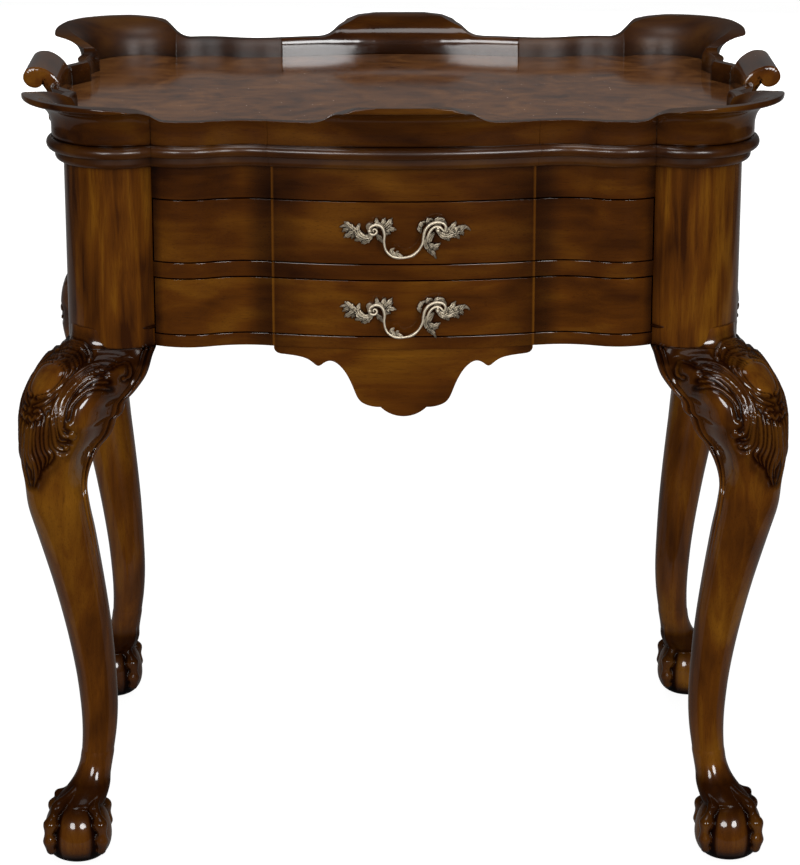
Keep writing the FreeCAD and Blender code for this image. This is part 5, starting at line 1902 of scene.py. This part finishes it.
# ---------------------------------------------------------------- studio
@dataclass(frozen=True)
class Studio:
    """Pale floor, soft lamps and the camera."""

    camera_at: tuple = (-25.03, -3146.25, 1348.04)
    pitch: float = 0.3011
    yaw: float = -0.0074
    lens: float = 133.2
    fill: float = 0.25           # light from all round
    dim: float = 0.03            # the studio on the camera's side, in reflections
    screen: float = 0.12         # the backdrop, in reflections
    paper: tuple = (2400.0, -330.0, 12000.0)   # half width of the floor, its front and its back
    screen_edge: Point = (0.62, 0.86)
    glow_reach: float = 8.0
    glow_near: float = 0.915
    glow_far: float = 0.935
    floor_tone: float = 0.24
    aim: tuple = (0.0, 0.0, 0.45)
    # name, place, size, power, and whether the lacquer mirrors it
    lamps: tuple = (
        ("soft_left", (-1.60, -4.8, 1.55), (1.6, 1.3), 80.0, True),
        ("soft_right", (1.65, -4.8, 1.55), (1.6, 1.3), 104.0, True),
        ("soft_back", (0.3, 4.6, 0.95), (2.6, 1.6), 150.0, False),
        ("soft_top", (-0.2, -1.1, 3.1), (1.6, 1.0), 18.0, True),
    )

    def build(self) -> None:
        """Build the whole studio."""
        self.add_camera()
        self.add_floor()
        self.add_world()
        for lamp in self.lamps:
            self.add_lamp(*lamp)

    def add_camera(self) -> None:
        """Place the camera square to the front, looking a little down."""
        data = bpy.data.cameras.new("camera")
        data.lens = self.lens
        camera = bpy.data.objects.new("camera", data)
        camera.location = [c * MM for c in self.camera_at]
        camera.rotation_euler = (math.pi / 2 - self.pitch, 0.0, self.yaw)
        bpy.context.scene.collection.objects.link(camera)
        bpy.context.scene.camera = camera

    def add_floor(self) -> None:
        """Add a pale floor that reads as white to the camera."""
        half, front, back = self.paper
        points = np.array([(-half, front, 0), (half, front, 0), (half, back, 0), (-half, back, 0)], float)
        floor = mesh_piece("floor", points, [(0, 1, 2, 3)], False)
        material, n, shader = new_material("pale_floor")
        shader["Base Color"].default_value = (*(self.floor_tone,) * 3, 1.0)
        shader["Roughness"].default_value = 0.8
        shader["Specular IOR Level"].default_value = 0.1
        shader["Emission Color"].default_value = (1.0, 1.0, 1.0, 1.0)
        place = n.add("NewGeometry")
        away = n.add("VectorMath", operation="LENGTH")
        n.join(place.outputs["Position"], away.inputs[0])
        path = n.add("LightPath")
        glow = n.ramp(n.math("DIVIDE", away.outputs["Value"], self.glow_reach),
                      [(0.05, self.glow_near), (1.0, self.glow_far)])
        seen = n.math("MULTIPLY", glow.outputs[0], path.outputs["Is Camera Ray"])
        n.join(seen, shader["Emission Strength"])
        floor.data.materials.append(material)

    def add_world(self) -> None:
        """White surroundings for the camera, a dim studio in reflections, plain light elsewhere."""
        world = bpy.data.worlds.new("surroundings")
        world.use_nodes = True
        bpy.context.scene.world = world
        n = Nodes(world.node_tree)
        ground = world.node_tree.nodes["Background"]
        ground.inputs[0].default_value = (1.0, 1.0, 1.0, 1.0)
        path = n.add("LightPath")
        seen = n.math("MAXIMUM", path.outputs["Is Camera Ray"], path.outputs["Is Transmission Ray"])
        way = n.add("SeparateXYZ")
        n.join(n.add("TexCoord").outputs["Generated"], way.inputs[0])
        stops = [(self.screen_edge[0], self.dim), (self.screen_edge[1], self.screen)]
        screen = n.ramp(way.outputs["Y"], stops)
        glossy = n.math("MULTIPLY", screen.outputs[0], path.outputs["Is Glossy Ray"])
        unseen = n.math("SUBTRACT", 1.0, n.math("MAXIMUM", seen, path.outputs["Is Glossy Ray"]))
        plain = n.math("MULTIPLY", unseen, self.fill)
        n.join(n.math("ADD", seen, n.math("ADD", glossy, plain)), ground.inputs[1])

    def add_lamp(self, name: str, place: tuple, size: tuple, power: float, mirrored: bool) -> None:
        """Add a soft box that faces the middle of the table, seen in the lacquer if mirrored.

        Args:
            name: Name of the lamp.
            place: Where it stands, in metres.
            size: Its width and height.
            power: Its power in watts.
            mirrored: Whether the lacquer mirrors it.
        """
        data = bpy.data.lights.new(name, "AREA")
        data.shape = "ELLIPSE"
        data.size, data.size_y = size
        data.energy = power
        lamp = bpy.data.objects.new(name, data)
        lamp.location = place
        lamp.visible_camera = False
        lamp.visible_glossy = mirrored
        aim = np.array(self.aim) - place
        flat = math.hypot(aim[0], aim[1])
        lamp.rotation_euler = (math.atan2(flat, -aim[2]), 0.0, math.atan2(-aim[0], aim[1]))
        bpy.context.scene.collection.objects.link(lamp)


def make_finishes() -> dict:
    """Build the node groups and every finish.

    Returns:
        The materials by key.
    """
    groups = {"wood": wood_group(), "burl": burl_group(), "shading": shading_group()}
    moulded = Lacquer("mahogany_moulded", Grain.ALONG_X, (0.098, 0.034, 0.0022), (0.048, 0.0136, 0.0010),
                      (0.017, 0.0042, 0.0006), seed=5.9, gloss=0.25)
    finishes = {
        "upright": Lacquer("mahogany_upright", Grain.ALONG_Z, streak=0.7),
        "carved": Lacquer("mahogany_carved", Grain.ALONG_Z, figure=0.3, streak=0.4, seed=5.3, ground=True),
        "level": Lacquer("mahogany_level", Grain.ALONG_X, (0.128, 0.044, 0.0028), (0.064, 0.0176, 0.0012),
                         (0.022, 0.0054, 0.0007), seed=3.1, painted_arris_shade=True),
        # painted light: a lighter copy of the level finish, so the lower drawer fronts and the apron come out
        # lighter than the parts above them
        "level_painted_lighter": Lacquer("mahogany_level_warm", Grain.ALONG_X, (0.165, 0.062, 0.0038),
                              (0.084, 0.024, 0.0016), (0.028, 0.0070, 0.0009), seed=7.4, painted_arris_shade=True),
        "moulded": moulded,
        "dulled": replace(moulded, name="mahogany_dulled", gloss=0.44),
        "gallery": Lacquer("mahogany_gallery", Grain.ALONG_X, (0.108, 0.038, 0.0024), (0.054, 0.0150, 0.0010),
                           (0.018, 0.0044, 0.0006), seed=6.4, gloss=0.10),
        "crosswise": Lacquer("mahogany_crosswise", Grain.ALONG_Y, seed=1.9),
        "veneer": Veneer(),
        "lining": PlainTimber(),
        "brass": CastMetal("antique_brass", (0.76, 0.66, 0.50), (0.040, 0.024, 0.012), 0.36),
        "steel": CastMetal("zinc_steel", (0.45, 0.45, 0.46), (0.18, 0.18, 0.18)),
    }
    return {key: finish.make(groups) for key, finish in finishes.items()}


def main() -> None:
    """Build every piece in order."""
    logging.basicConfig(level=logging.INFO, format="%(message)s")
    bpy.context.scene.view_settings.view_transform = "Standard"
    Studio().build()
    finishes = make_finishes()
    Casework().dress(finishes)
    Gallery().build(finishes["gallery"], finishes["dulled"])
    ScrollHandle().build(finishes["crosswise"])
    Legs().build(finishes["carved"])
    for drawer in ("upper", "lower"):
        PullShape().build(drawer, finishes["brass"])


if __name__ == "__main__":
    main()
